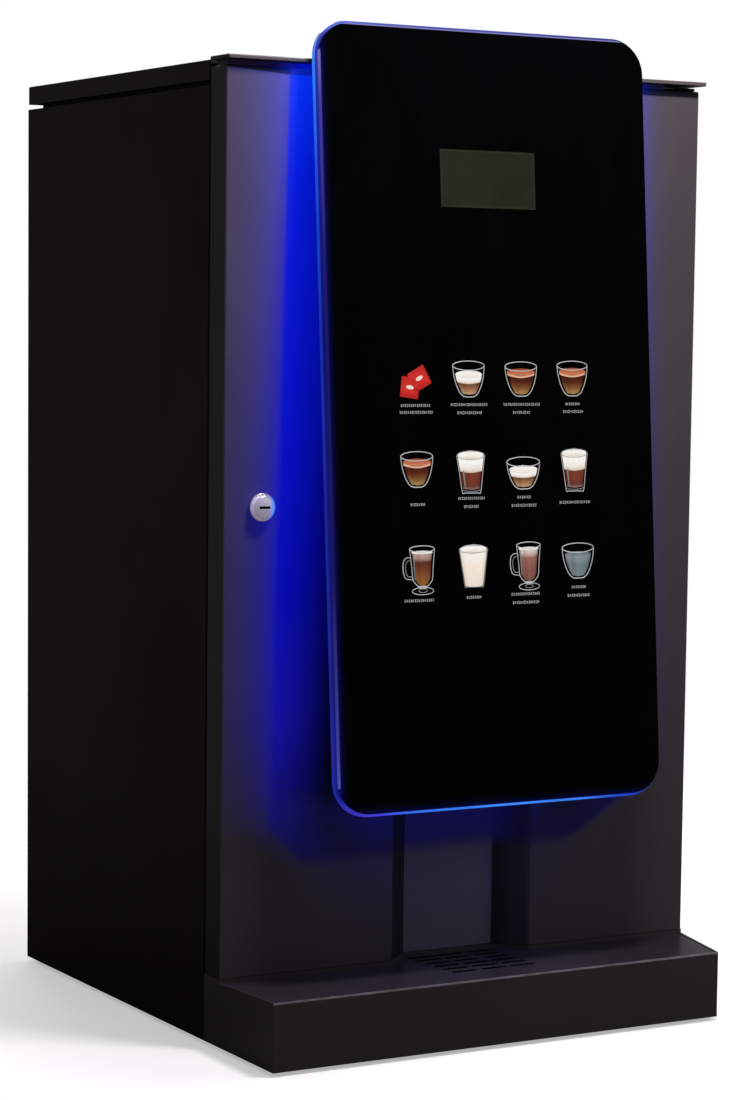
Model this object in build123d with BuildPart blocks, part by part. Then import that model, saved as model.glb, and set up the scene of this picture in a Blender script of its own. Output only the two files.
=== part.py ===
from build123d import *
import os
import math

os.makedirs("parts", exist_ok=True)

# Table-top hot drinks vending machine, in millimetres.
# Frame: origin on the standing surface under the middle of the machine,
# X to the right seen from the front, Y towards the back, Z up.

# ---------------------------------------------------------------- overall
HX = 200.0             # half width of cabinet, door and drip tray
Y_TRAY = -213.0        # front of the drip tray
Y_FACE = -131.0        # front face of the door
DOOR_T = 22.8          # door thickness
Y_DOOR_B = Y_FACE + DOOR_T
Y_CAB = -106.0         # front edge of the side panels
Y_BACK = 213.0         # rear edge of the side panels
Y_REAR = 208.5         # inner face of the rear panel
SHEET = 1.5            # cabinet and door sheet
Z_SIDE0 = 3.0          # lower edge of the side panels
Z_SIDE1 = 680.4        # upper edge of the side panels
Z_LID0, Z_LID1 = 684.3, 698.2
Z_DOOR0, Z_DOOR1 = 52.6, 693.3
Z_FRAME = 678.5        # top of the top frame

# ---------------------------------------------------------------- door hinge
HINGE_X, HINGE_Y = 193.6, -122.0
HINGE_PIN_R = 3.0
HINGE_BORE_R = 3.05

# ---------------------------------------------------------------- cap over the door
CAP_HX = 202.0
CAP_Y0, CAP_Y1 = -137.9, -109.5
CAP_Z0, CAP_Z1 = 697.0, 700.0

# ---------------------------------------------------------------- leaning glass
GLASS_Y0, GLASS_Z0 = -190.15, 171.11   # lower edge of the front plane
GLASS_Y1, GLASS_Z1 = -145.94, 727.28   # upper edge of the front plane
PANEL_W = 276.0
PANEL_R = 26.0
GLASS_W = 272.0
GLASS_R = 24.0
GLASS_T = 4.0
GUIDE_T = 4.0
lean = math.degrees(math.atan2(GLASS_Y1 - GLASS_Y0, GLASS_Z1 - GLASS_Z0))
PANEL_L = math.hypot(GLASS_Y1 - GLASS_Y0, GLASS_Z1 - GLASS_Z0)
c_l, s_l = math.cos(math.radians(lean)), math.sin(math.radians(lean))


def panel_plane(depth):
    """Plane parallel to the glass, depth mm behind its front face; local x
    is the machine's X, local y runs up the glass from its lower edge."""
    return Plane(origin=(0, GLASS_Y0 + depth * c_l, GLASS_Z0 - depth * s_l),
                 x_dir=(1, 0, 0), z_dir=(0, -c_l, s_l))


def panel_y(z, depth=0.0):
    """Y of the surface depth mm behind the glass front, at height z."""
    y0 = GLASS_Y0 + depth * c_l
    z0 = GLASS_Z0 - depth * s_l
    return y0 + (z - z0) * s_l / c_l


# ---------------------------------------------------------------- cup recess in the door
NICHE_HX0 = 60.0       # half width at the door face
NICHE_HX1 = 37.5       # half width at the back
NICHE_Y = -111.0       # back of the recess
NICHE_Z1 = 190.0

# ---------------------------------------------------------------- glass housing
HOUSE_HX = 113.0
HOUSE_Z0, HOUSE_Z1 = 193.0, 688.0
HOUSE_WALL = 2.5

# ---------------------------------------------------------------- lock
LOCK_X, LOCK_Z = -170.0, 387.0
LOCK_R = 10.0          # outer bezel
PLUG_R = 6.0

# ---------------------------------------------------------------- drip tray
TRAY_RIGHT_FRONT = 175.5   # the right end wall is set in towards the front
TRAY_Z0 = 3.0
TRAY_ZB, TRAY_ZF = 49.4, 52.0   # top at the door and at the front
TRAY_REAR = -106.5
DECK_Y = -131.4        # front edge of the fixed rear deck
TRAY_DECK = 52.2       # top of the rear deck, just under the door
GRILLE_HX = 36.0

# ---------------------------------------------------------------- insides
BULK_Y = 97.0
SHELF_Z = 342.0
CAN_X = (-153.0, -79.0, -5.0)
CAN_HW = 35.0
CAN_Y0, CAN_Y1 = -56.0, 92.0
CAN_Z0, CAN_Z1 = 343.6, 550.0
AUGER_Z = 364.0
BOWL_X = (-116.0, -5.0)
BOWL_Y = -62.0
WHIP_Z = 228.0
GRIND_X, GRIND_Y = 128.0, 30.0


def slab(x0, x1, y0, y1, z0, z1, mode=Mode.ADD):
    """Box between two corners, from a rectangle on its lower face."""
    with BuildSketch(Plane.XY.offset(z0)) as outline:
        with Locations(((x0 + x1) / 2, (y0 + y1) / 2)):
            Rectangle(x1 - x0, y1 - y0)
    extrude(outline.sketch, amount=z1 - z0, mode=mode)


def rod(start, axis, r, length, mode=Mode.ADD):
    """Cylinder from start along axis."""
    with BuildSketch(Plane(origin=start, z_dir=axis)) as disc:
        Circle(r)
    extrude(disc.sketch, amount=length, mode=mode)


def prism_x(points, x0, x1, mode=Mode.ADD):
    """Polygon of (y, z) points drawn across the machine from x0 to x1."""
    with BuildSketch(Plane(origin=(x0, 0, 0), x_dir=(0, 1, 0), z_dir=(1, 0, 0))) as section:
        with BuildLine():
            Polyline(*points, close=True)
        make_face()
    extrude(section.sketch, amount=x1 - x0, mode=mode)


def prism_z(points, z0, z1, mode=Mode.ADD):
    """Polygon of (x, y) points drawn up from z0 to z1."""
    with BuildSketch(Plane.XY.offset(z0)) as section:
        with BuildLine():
            Polyline(*points, close=True)
        make_face()
    extrude(section.sketch, amount=z1 - z0, mode=mode)


# ================================================================ cabinet
with BuildPart() as base_pan:
    slab(-198.4, 198.4, -104.0, Y_REAR - SHEET - 0.2, 5.0, 30.0)
    slab(-198.4 + SHEET, 198.4 - SHEET, -105.0, Y_REAR - 2 * SHEET - 0.2, 6.5, 31.0, mode=Mode.SUBTRACT)
    # pressed ribs that stiffen the floor
    for x in (-110.0, 0.0, 110.0):
        slab(x - 6, x + 6, 20.0, 180.0, 6.5, 8.5)
base_pan.part.label = "base_pan"
export_step(base_pan.part, "parts/base_pan.step")

for side, name in ((-1, "left_side_panel"), (1, "right_side_panel")):
    with BuildPart() as side_panel:
        xo, xi, xf = side * HX, side * (HX - SHEET), side * (HX - 15.5)
        prism_z(((xo, Y_CAB), (xf, Y_CAB), (xf, Y_CAB + SHEET), (xi, Y_CAB + SHEET),
                 (xi, Y_REAR - SHEET - 0.1), (xf, Y_REAR - SHEET - 0.1), (xf, Y_REAR - 0.1),
                 (xi, Y_REAR - 0.1), (xi, Y_BACK), (xo, Y_BACK)), Z_SIDE0, Z_SIDE1)
        if side == -1:
            fillet(side_panel.edges().filter_by(Axis.Z).filter_by_position(Axis.X, -200.01, -199.99)
                   .filter_by_position(Axis.Y, Y_CAB - 0.01, Y_CAB + 0.01), 1.2)
        else:
            fillet(side_panel.edges().filter_by(Axis.Z).filter_by_position(Axis.X, 199.99, 200.01)
                   .filter_by_position(Axis.Y, Y_CAB - 0.01, Y_CAB + 0.01), 1.2)
        # the front flange is cut away below, where the tray runs through
        lo, hi = sorted((side * 184.0, side * 198.49))
        slab(lo, hi, Y_CAB - 1, Y_CAB + SHEET, Z_SIDE0 - 1, 46.0, mode=Mode.SUBTRACT)
        # a notch lets the lower hinge arm out on the right
        if side == 1:
            slab(lo, hi, Y_CAB - 1, Y_CAB + SHEET, 45.0, 53.6, mode=Mode.SUBTRACT)
        # and the rear flange above, clear of the lid hinge
        slab(lo, hi, Y_REAR - 4, Y_REAR, 674.0, Z_SIDE1 + 1, mode=Mode.SUBTRACT)
    side_panel.part.label = name
    export_step(side_panel.part, "parts/%s.step" % name)

with BuildPart() as rear_panel:
    slab(-198.4, 198.4, Y_REAR, Y_REAR + SHEET, 8.0, 676.0)
    # two banks of ventilation slots
    with BuildSketch(Plane(origin=(0, Y_REAR - 1, 430.0), x_dir=(-1, 0, 0), z_dir=(0, 1, 0))) as vents:
        with GridLocations(170.0, 13.0, 2, 9):
            SlotOverall(96.0, 5.0)
    extrude(vents.sketch, amount=4.0, mode=Mode.SUBTRACT)
    # radial slots over the fan
    with BuildSketch(Plane(origin=(90.0, Y_REAR - 1, 590.0), x_dir=(-1, 0, 0), z_dir=(0, 1, 0))) as grille:
        with PolarLocations(31.0, 16):
            SlotOverall(16.0, 5.0)
        with PolarLocations(14.0, 8):
            SlotOverall(9.0, 4.0)
    extrude(grille.sketch, amount=4.0, mode=Mode.SUBTRACT)
    # mains inlet and water inlet openings
    slab(-156.0, -124.0, Y_REAR - 1, Y_REAR + 3, 50.0, 102.0, mode=Mode.SUBTRACT)
    rod((-60.0, Y_REAR - 1, 60.0), (0, 1, 0), 10.5, 4.0, mode=Mode.SUBTRACT)
    for x in (-191.5, 191.5):
        for z in (40.0, 240.0, 440.0, 660.0):
            rod((x, Y_REAR - 1, z), (0, 1, 0), 1.6, 4.0, mode=Mode.SUBTRACT)
rear_panel.part.label = "rear_panel"
export_step(rear_panel.part, "parts/rear_panel.step")

with BuildPart() as rear_panel_screws:
    for x in (-191.5, 191.5):
        for z in (40.0, 240.0, 440.0, 660.0):
            rod((x, Y_REAR + SHEET, z), (0, 1, 0), 3.6, 2.0)
            rod((x, Y_REAR, z), (0, 1, 0), 1.5, 1.5)
    with BuildSketch(Plane(origin=(0, Y_REAR + SHEET + 1.2, 350.0), x_dir=(1, 0, 0), z_dir=(0, 1, 0))) as recess:
        for x in (-191.5, 191.5):
            for z in (40.0, 240.0, 440.0, 660.0):
                with Locations((x, 350.0 - z)):
                    Rectangle(4.4, 0.9)
                    Rectangle(0.9, 4.4)
    extrude(recess.sketch, amount=2.0, mode=Mode.SUBTRACT)
rear_panel_screws.part.label = "rear_panel_screws"
export_step(rear_panel_screws.part, "parts/rear_panel_screws.step")

# ---- top frame with the lid's hinge ears
LID_AX_Y, LID_AX_Z = 206.0, 691.0
LID_EARS = (-150.0, 150.0)
with BuildPart() as top_frame:
    slab(-198.4, 198.4, Y_CAB + SHEET + 0.1, Y_REAR - 0.1, Z_FRAME - SHEET, Z_FRAME)
    slab(-184.0, 184.0, -92.0, 176.0, Z_FRAME - SHEET, Z_FRAME, mode=Mode.SUBTRACT)
    # turned-down lip around the opening
    slab(-185.5, 185.5, -93.5, 177.5, 669.5, Z_FRAME - SHEET)
    slab(-184.0, 184.0, -92.0, 176.0, 669.5, Z_FRAME - SHEET, mode=Mode.SUBTRACT)
    # ears either side of each lid knuckle, with a pin between them
    for x in LID_EARS:
        for dx in (-18.5, 16.0):
            slab(x + dx, x + dx + 2.5, LID_AX_Y - 4.2, LID_AX_Y + 2.4, Z_FRAME, LID_AX_Z)
            rod((x + dx, LID_AX_Y, LID_AX_Z), (1, 0, 0), 4.2, 2.5)
        rod((x - 17.0, LID_AX_Y, LID_AX_Z), (1, 0, 0), 2.0, 34.0)
top_frame.part.label = "top_frame"
export_step(top_frame.part, "parts/top_frame.step")

with BuildPart() as bulkhead_plate:
    slab(-198.3, 198.3, BULK_Y, BULK_Y + SHEET, 30.2, 610.0)
    slab(-198.3, 198.3, BULK_Y + SHEET, BULK_Y + 14.0, 608.5, 610.0)
    for x in CAN_X:
        rod((x, BULK_Y - 1, AUGER_Z), (0, 1, 0), 6.0, 4.0, mode=Mode.SUBTRACT)
    # openings for the water pipes
    for x in (-150.0, 30.0, 60.0):
        rod((x, BULK_Y - 1, 300.0), (0, 1, 0), 9.0, 4.0, mode=Mode.SUBTRACT)
bulkhead_plate.part.label = "bulkhead_plate"
export_step(bulkhead_plate.part, "parts/bulkhead_plate.step")

with BuildPart() as canister_shelf:
    slab(-198.3, 56.0, -54.0, BULK_Y - 0.1, SHELF_Z, SHELF_Z + SHEET)
    slab(-198.3, 56.0, -54.0, -52.5, SHELF_Z - 12.0, SHELF_Z)
canister_shelf.part.label = "canister_shelf"
export_step(canister_shelf.part, "parts/canister_shelf.step")

with BuildPart() as mixer_bracket:
    slab(-190.0, 56.0, -14.0, -12.5, 190.0, SHELF_Z - 0.1)
    slab(-190.0, 56.0, -12.5, 12.0, 190.0, 191.5)
    for x in BOWL_X:
        rod((x, -15.0, WHIP_Z), (0, 1, 0), 8.2, 4.0, mode=Mode.SUBTRACT)
mixer_bracket.part.label = "mixer_bracket"
export_step(mixer_bracket.part, "parts/mixer_bracket.step")

with BuildPart() as rubber_feet:
    for x in (-170.0, 170.0):
        for y in (-84.0, 184.0):
            with BuildSketch(Plane(origin=(x, y, 0.0), z_dir=(0, 0, 1))) as foot:
                Circle(15.0)
            extrude(foot.sketch, amount=5.0, taper=8)
rubber_feet.part.label = "rubber_feet"
export_step(rubber_feet.part, "parts/rubber_feet.step")

# ---- hinge arms that carry the door, with their pins
with BuildPart() as hinge_arms:
    # lower arm, under the door and back into the cabinet
    slab(184.0, 198.3, -127.0, -80.0, 50.4, 52.4)
    rod((HINGE_X, HINGE_Y, 52.4), (0, 0, 1), HINGE_PIN_R, 13.0)
    slab(186.0, 198.3, Y_CAB + SHEET + 0.2, -80.0, 34.0, 50.4)
    # upper arm, between the door and its cap, through the notch in the lid
    slab(184.0, 198.3, -127.0, -92.0, 693.8, 695.8)
    rod((HINGE_X, HINGE_Y, 693.8), (0, 0, -1), HINGE_PIN_R, 13.0)
    slab(186.0, 198.3, -101.0, -94.0, Z_FRAME, 693.8)
hinge_arms.part.label = "hinge_arms"
export_step(hinge_arms.part, "parts/hinge_arms.step")

# ---- powder canisters with lids, outlets and drives
with BuildPart() as powder_canisters:
    for x in CAN_X:
        slab(x - CAN_HW, x + CAN_HW, CAN_Y0, CAN_Y1, CAN_Z0, CAN_Z1)
    for x in CAN_X:
        # hopper walls slope in to the auger trough
        with BuildSketch(Plane(origin=(0, CAN_Y0 + 2.0, 0), x_dir=(1, 0, 0), z_dir=(0, 1, 0))) as hollow:
            with BuildLine():
                Polyline((x - 33.0, -CAN_Z1 - 1), (x + 33.0, -CAN_Z1 - 1), (x + 33.0, -400.0),
                         (x + 14.0, -372.0), (x + 14.0, -350.0), (x - 14.0, -350.0),
                         (x - 14.0, -372.0), (x - 33.0, -400.0), close=True)
            make_face()
        extrude(hollow.sketch, amount=CAN_Y1 - CAN_Y0 - 4.0, mode=Mode.SUBTRACT)
        rod((x, CAN_Y0 - 1, AUGER_Z), (0, 1, 0), 13.0, 4.0, mode=Mode.SUBTRACT)
        rod((x, CAN_Y1 - 3, AUGER_Z), (0, 1, 0), 5.05, 4.0, mode=Mode.SUBTRACT)
powder_canisters.part.label = "powder_canisters"
export_step(powder_canisters.part, "parts/powder_canisters.step")

with BuildPart() as canister_lids:
    for x in CAN_X:
        slab(x - 36.2, x + 36.2, CAN_Y0 - 1.2, CAN_Y1 + 1.2, 544.0, 552.0)
        slab(x - 35.1, x + 35.1, CAN_Y0 - 0.1, CAN_Y1 + 0.1, 543.0, CAN_Z1, mode=Mode.SUBTRACT)
        slab(x - 12.0, x + 12.0, 4.0, 32.0, 552.0, 558.0)
canister_lids.part.label = "canister_lids"
export_step(canister_lids.part, "parts/canister_lids.step")

with BuildPart() as powder_outlets:
    for x in CAN_X:
        slab(x - 16.0, x + 16.0, -88.0, CAN_Y0 - 0.1, 334.0, 380.0)
    for x in CAN_X:
        rod((x, CAN_Y0, AUGER_Z), (0, -1, 0), 12.9, 28.0, mode=Mode.SUBTRACT)
        rod((x, -74.0, AUGER_Z), (0, 0, -1), 10.0, 40.0, mode=Mode.SUBTRACT)
powder_outlets.part.label = "powder_outlets"
export_step(powder_outlets.part, "parts/powder_outlets.step")

with BuildPart() as auger_motors:
    for x in CAN_X:
        slab(x - 22.0, x + 22.0, BULK_Y + SHEET + 0.1, 126.0, AUGER_Z - 30.0, AUGER_Z + 22.0)
        rod((x, 126.0, AUGER_Z - 8.0), (0, 1, 0), 17.0, 30.0)
    for x in CAN_X:
        rod((x, BULK_Y, AUGER_Z), (0, 1, 0), 4.05, 18.0, mode=Mode.SUBTRACT)
auger_motors.part.label = "auger_motors"
export_step(auger_motors.part, "parts/auger_motors.step")

# ---- augers: shaft with slanted flights
for x, name in zip(CAN_X, ("auger_left", "auger_middle", "auger_right")):
    with BuildPart() as auger:
        rod((x, -82.0, AUGER_Z), (0, 1, 0), 4.0, BULK_Y + 16.0 + 82.0)
        for k in range(9):
            y = -70.0 + k * 18.0
            with BuildSketch(Plane(origin=(x, y, AUGER_Z), x_dir=(1, 0, 0), z_dir=(0, -1, 0.32 if k % 2 else -0.32))) as flight:
                Ellipse(10.6, 11.0)
            extrude(flight.sketch, amount=1.8)
    auger.part.label = name
    export_step(auger.part, "parts/%s.step" % name)

# ---- mixing bowls, whippers and their motors
with BuildPart() as mixing_bowls:
    for x in BOWL_X:
        with BuildSketch(Plane.XY.offset(300.0)) as rim:
            with Locations((x, BOWL_Y - 6.0)):
                Rectangle(98.0, 60.0)
        with BuildSketch(Plane.XY.offset(258.0)) as waist:
            with Locations((x, BOWL_Y)):
                Rectangle(34.0, 30.0)
        loft(Sketch() + [rim.sketch, waist.sketch])
        slab(x - 17.0, x + 17.0, BOWL_Y - 15.0, BOWL_Y + 15.0, 206.0, 258.0)
        rod((x, BOWL_Y - 15.0, 217.0), (0, -1, 0), 6.0, 12.0)
    for x in BOWL_X:
        with BuildSketch(Plane.XY.offset(300.2)) as rim_in:
            with Locations((x, BOWL_Y - 6.0)):
                Rectangle(94.0, 56.0)
        with BuildSketch(Plane.XY.offset(256.0)) as waist_in:
            with Locations((x, BOWL_Y)):
                Rectangle(28.0, 24.0)
        loft(Sketch() + [rim_in.sketch, waist_in.sketch], mode=Mode.SUBTRACT)
        slab(x - 14.0, x + 14.0, BOWL_Y - 12.0, BOWL_Y + 12.0, 212.0, 257.0, mode=Mode.SUBTRACT)
        rod((x, BOWL_Y - 5.0, 217.0), (0, -1, 0), 4.0, 30.0, mode=Mode.SUBTRACT)
        rod((x, BOWL_Y, WHIP_Z), (0, 1, 0), 3.05, 20.0, mode=Mode.SUBTRACT)
mixing_bowls.part.label = "mixing_bowls"
export_step(mixing_bowls.part, "parts/mixing_bowls.step")

with BuildPart() as mixer_motors:
    for x in BOWL_X:
        rod((x, -12.4, WHIP_Z), (0, 1, 0), 18.0, 42.0)
        rod((x, -12.4, WHIP_Z), (0, -1, 0), 8.0, 6.0)
    for x in BOWL_X:
        rod((x, -20.0, WHIP_Z), (0, 1, 0), 3.05, 22.0, mode=Mode.SUBTRACT)
mixer_motors.part.label = "mixer_motors"
export_step(mixer_motors.part, "parts/mixer_motors.step")

for x, name in zip(BOWL_X, ("whipper_left", "whipper_right")):
    with BuildPart() as whipper:
        rod((x, BOWL_Y - 2.0, WHIP_Z), (0, 1, 0), 3.0, 62.0)
        rod((x, BOWL_Y - 8.0, WHIP_Z), (0, 1, 0), 11.5, 2.0)
        rod((x, BOWL_Y - 7.0, WHIP_Z), (0, 1, 0), 4.0, 8.0)
        with BuildSketch(Plane(origin=(x, BOWL_Y - 6.0, WHIP_Z), x_dir=(1, 0, 0), z_dir=(0, 1, 0))) as vanes:
            with PolarLocations(7.2, 6):
                Rectangle(8.0, 1.4)
        extrude(vanes.sketch, amount=5.0)
    whipper.part.label = name
    export_step(whipper.part, "parts/%s.step" % name)

# ---- coffee side: hopper, shutter, grinder, chute, brew group, bin
with BuildPart() as bean_hopper:
    with BuildSketch(Plane.XY.offset(612.0)) as wide:
        with Locations((126.0, -1.0)):
            Rectangle(132.0, 180.0)
    with BuildSketch(Plane.XY.offset(562.0)) as narrow:
        with Locations((GRIND_X, GRIND_Y)):
            Rectangle(46.0, 46.0)
    loft(Sketch() + [wide.sketch, narrow.sketch])
    slab(60.0, 192.0, -91.0, 89.0, 612.0, 666.0)
    slab(GRIND_X - 23, GRIND_X + 23, GRIND_Y - 23, GRIND_Y + 23, 540.2, 562.0)
    with BuildSketch(Plane.XY.offset(613.0)) as wide_in:
        with Locations((126.0, -1.0)):
            Rectangle(126.0, 174.0)
    with BuildSketch(Plane.XY.offset(564.0)) as narrow_in:
        with Locations((GRIND_X, GRIND_Y)):
            Rectangle(38.0, 38.0)
    loft(Sketch() + [wide_in.sketch, narrow_in.sketch], mode=Mode.SUBTRACT)
    slab(63.0, 189.0, -88.0, 86.0, 612.5, 667.0, mode=Mode.SUBTRACT)
    rod((GRIND_X, GRIND_Y, 539.0), (0, 0, 1), 18.0, 27.0, mode=Mode.SUBTRACT)
    # slot for the shutter
    slab(GRIND_X - 19.5, GRIND_X + 19.5, GRIND_Y - 24, GRIND_Y + 24, 548.0, 551.0, mode=Mode.SUBTRACT)
bean_hopper.part.label = "bean_hopper"
export_step(bean_hopper.part, "parts/bean_hopper.step")

with BuildPart() as hopper_shutter:
    slab(GRIND_X - 19.0, GRIND_X + 19.0, -28.0, 92.0, 548.4, 550.6)
    rod((GRIND_X, GRIND_Y, 547.0), (0, 0, 1), 17.5, 5.0, mode=Mode.SUBTRACT)
    slab(GRIND_X - 19.0, GRIND_X + 19.0, -30.0, -28.0, 542.0, 554.0)
hopper_shutter.part.label = "hopper_shutter"
export_step(hopper_shutter.part, "parts/hopper_shutter.step")

with BuildPart() as grinder_body:
    rod((GRIND_X, GRIND_Y, 424.0), (0, 0, 1), 40.0, 60.0)
    rod((GRIND_X, GRIND_Y, 484.0), (0, 0, 1), 48.0, 44.0)
    rod((GRIND_X, GRIND_Y, 528.0), (0, 0, 1), 24.0, 12.0)
    slab(GRIND_X - 14, GRIND_X + 14, -34.0, GRIND_Y, 486.0, 512.0)
    rod((GRIND_X, GRIND_Y, 490.0), (0, 0, 1), 36.0, 32.0, mode=Mode.SUBTRACT)
    rod((GRIND_X, GRIND_Y, 520.0), (0, 0, 1), 18.0, 22.0, mode=Mode.SUBTRACT)
    rod((GRIND_X, GRIND_Y, 466.0), (0, 0, 1), 5.05, 26.0, mode=Mode.SUBTRACT)
    # outlet for the ground coffee
    slab(GRIND_X - 10, GRIND_X + 10, -30.0, 0.0, 491.0, 507.0, mode=Mode.SUBTRACT)
    slab(GRIND_X - 10, GRIND_X + 10, -30.0, -20.0, 480.0, 500.0, mode=Mode.SUBTRACT)
    # foot flange bolted to the bulkhead
    slab(GRIND_X - 30, GRIND_X + 30, GRIND_Y + 36.0, BULK_Y - 0.1, 440.0, 470.0)
grinder_body.part.label = "grinder_body"
export_step(grinder_body.part, "parts/grinder_body.step")

with BuildPart() as grinder_burr:
    rod((GRIND_X, GRIND_Y, 467.0), (0, 0, 1), 5.0, 30.0)
    rod((GRIND_X, GRIND_Y, 494.0), (0, 0, 1), 31.0, 9.0)
    rod((GRIND_X, GRIND_Y, 503.0), (0, 0, 1), 12.0, 6.0)
    with BuildSketch(Plane.XY.offset(501.5)) as teeth:
        with Locations((GRIND_X, GRIND_Y)):
            with PolarLocations(24.0, 18):
                Rectangle(11.0, 1.6)
    extrude(teeth.sketch, amount=3.0, mode=Mode.SUBTRACT)
grinder_burr.part.label = "grinder_burr"
export_step(grinder_burr.part, "parts/grinder_burr.step")

BREW_X, BREW_Y = 128.0, 20.0
with BuildPart() as brew_frame:
    slab(88.0, 168.0, -20.0, BULK_Y - 0.1, 204.0, 372.0)
    slab(95.0, 161.0, -21.0, 88.0, 214.0, 362.0, mode=Mode.SUBTRACT)
    # seat ring for the brewing chamber
    slab(94.0, 162.0, -16.0, 88.5, 236.0, 246.0)
    rod((BREW_X, BREW_Y, 235.0), (0, 0, 1), 22.0, 12.0, mode=Mode.SUBTRACT)
    rod((BREW_X, BREW_Y, 360.0), (0, 0, 1), 6.05, 14.0, mode=Mode.SUBTRACT)
    slab(110.0, 146.0, -21.0, 70.0, 203.0, 215.0, mode=Mode.SUBTRACT)
    slab(110.0, 146.0, -21.0, -12.0, 361.0, 373.0, mode=Mode.SUBTRACT)
brew_frame.part.label = "brew_frame"
export_step(brew_frame.part, "parts/brew_frame.step")

with BuildPart() as brew_chamber:
    rod((BREW_X, BREW_Y, 246.1), (0, 0, 1), 27.0, 54.0)
    rod((BREW_X, BREW_Y, 226.0), (0, 0, 1), 21.8, 21.0)
    rod((BREW_X, BREW_Y, 232.0), (0, 0, 1), 20.1, 70.0, mode=Mode.SUBTRACT)
    # coffee outlet stub
    rod((BREW_X, BREW_Y - 20.0, 229.0), (0, -1, 0), 3.0, 14.0)
brew_chamber.part.label = "brew_chamber"
export_step(brew_chamber.part, "parts/brew_chamber.step")

with BuildPart() as brew_piston:
    rod((BREW_X, BREW_Y, 318.0), (0, 0, 1), 20.0, 12.0)
    rod((BREW_X, BREW_Y, 330.0), (0, 0, 1), 6.0, 92.0)
brew_piston.part.label = "brew_piston"
export_step(brew_piston.part, "parts/brew_piston.step")

with BuildPart() as coffee_chute:
    # open-backed trough from the grinder outlet down to the chamber mouth
    prism_x(((-34.0, 478.0), (-14.0, 478.0), (-14.0, 440.0), (-26.0, 330.0), (-2.0, 306.0), (-8.0, 302.0),
             (-36.0, 326.0)), 112.0, 144.0)
    prism_x(((-31.5, 479.0), (-16.5, 479.0), (-16.5, 440.0), (-28.5, 329.0), (-4.0, 305.5), (-6.0, 303.0),
             (-33.5, 327.0)), 114.5, 141.5, mode=Mode.SUBTRACT)
coffee_chute.part.label = "coffee_chute"
export_step(coffee_chute.part, "parts/coffee_chute.step")

with BuildPart() as grounds_bin:
    slab(66.0, 182.0, -98.0, 60.0, 9.0, 185.0)
    slab(68.5, 179.5, -95.5, 57.5, 11.5, 186.0, mode=Mode.SUBTRACT)
    slab(104.0, 144.0, -104.0, -98.0, 150.0, 170.0)
grounds_bin.part.label = "grounds_bin"
export_step(grounds_bin.part, "parts/grounds_bin.step")

# ---- rear compartment
with BuildPart() as boiler_tank:
    rod((-120.0, 148.0, 110.0), (0, 0, 1), 44.0, 170.0)
    rod((-120.0, 148.0, 280.0), (0, 0, 1), 49.0, 5.0)
    rod((-120.0, 148.0, 104.0), (0, 0, 1), 49.0, 6.0)
    for dx in (-22.0, 0.0, 22.0):
        rod((-120.0 + dx, 148.0, 285.0), (0, 0, 1), 6.0, 18.0)
    for dx in (-34.0, 34.0):
        for dy in (-26.0, 26.0):
            slab(-120.0 + dx - 5, -120.0 + dx + 5, 148.0 + dy - 5, 148.0 + dy + 5, 6.6, 105.0)
boiler_tank.part.label = "boiler_tank"
export_step(boiler_tank.part, "parts/boiler_tank.step")

with BuildPart() as water_pump:
    slab(-32.0, 12.0, 120.0, 176.0, 9.0, 22.0)
    slab(-26.0, 6.0, 126.0, 170.0, 22.0, 88.0)
    rod((-10.0, 148.0, 88.0), (0, 0, 1), 10.0, 26.0)
    rod((-10.0, 148.0, 114.0), (0, 0, 1), 5.0, 14.0)
water_pump.part.label = "water_pump"
export_step(water_pump.part, "parts/water_pump.step")

with BuildPart() as solenoid_valves:
    for x in (-150.0, -105.0, -60.0):
        slab(x - 15, x + 15, BULK_Y + SHEET + 0.1, 132.0, 316.0, 328.5)
        slab(x - 12, x + 12, 101.0, 129.0, 304.0, 316.0)
solenoid_valves.part.label = "solenoid_valves"
export_step(solenoid_valves.part, "parts/solenoid_valves.step")

with BuildPart() as power_supply_box:
    slab(60.0, 180.0, 104.0, 196.0, 9.0, 190.0)
    slab(62.0, 178.0, 106.0, 194.0, 11.0, 188.0, mode=Mode.SUBTRACT)
    with BuildSketch(Plane.XY.offset(187.0)) as vents2:
        with Locations((120.0, 150.0)):
            with GridLocations(12.0, 30.0, 8, 2):
                SlotOverall(22.0, 4.0, rotation=90)
    extrude(vents2.sketch, amount=4.0, mode=Mode.SUBTRACT)
power_supply_box.part.label = "power_supply_box"
export_step(power_supply_box.part, "parts/power_supply_box.step")

FAN_X, FAN_Z, FAN_Y = 90.0, 590.0, 183.0
with BuildPart() as fan_housing:
    slab(FAN_X - 46, FAN_X + 46, FAN_Y, Y_REAR - 0.1, FAN_Z - 46, FAN_Z + 46)
    rod((FAN_X, FAN_Y - 1, FAN_Z), (0, 1, 0), 42.0, 30.0, mode=Mode.SUBTRACT)
    rod((FAN_X, FAN_Y + 19.0, FAN_Z), (0, 1, 0), 17.0, 4.0)
    for a in (45, 135, 225, 315):
        with BuildSketch(Plane(origin=(FAN_X, FAN_Y + 19.0, FAN_Z), x_dir=(1, 0, 0), z_dir=(0, 1, 0))) as strut:
            with Locations(Location((30.0 * math.cos(math.radians(a)), 30.0 * math.sin(math.radians(a))), a)):
                Rectangle(30.0, 3.0)
        extrude(strut.sketch, amount=4.0)
    rod((FAN_X, FAN_Y + 16.0, FAN_Z), (0, 1, 0), 2.05, 8.0, mode=Mode.SUBTRACT)
fan_housing.part.label = "fan_housing"
export_step(fan_housing.part, "parts/fan_housing.step")

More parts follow.
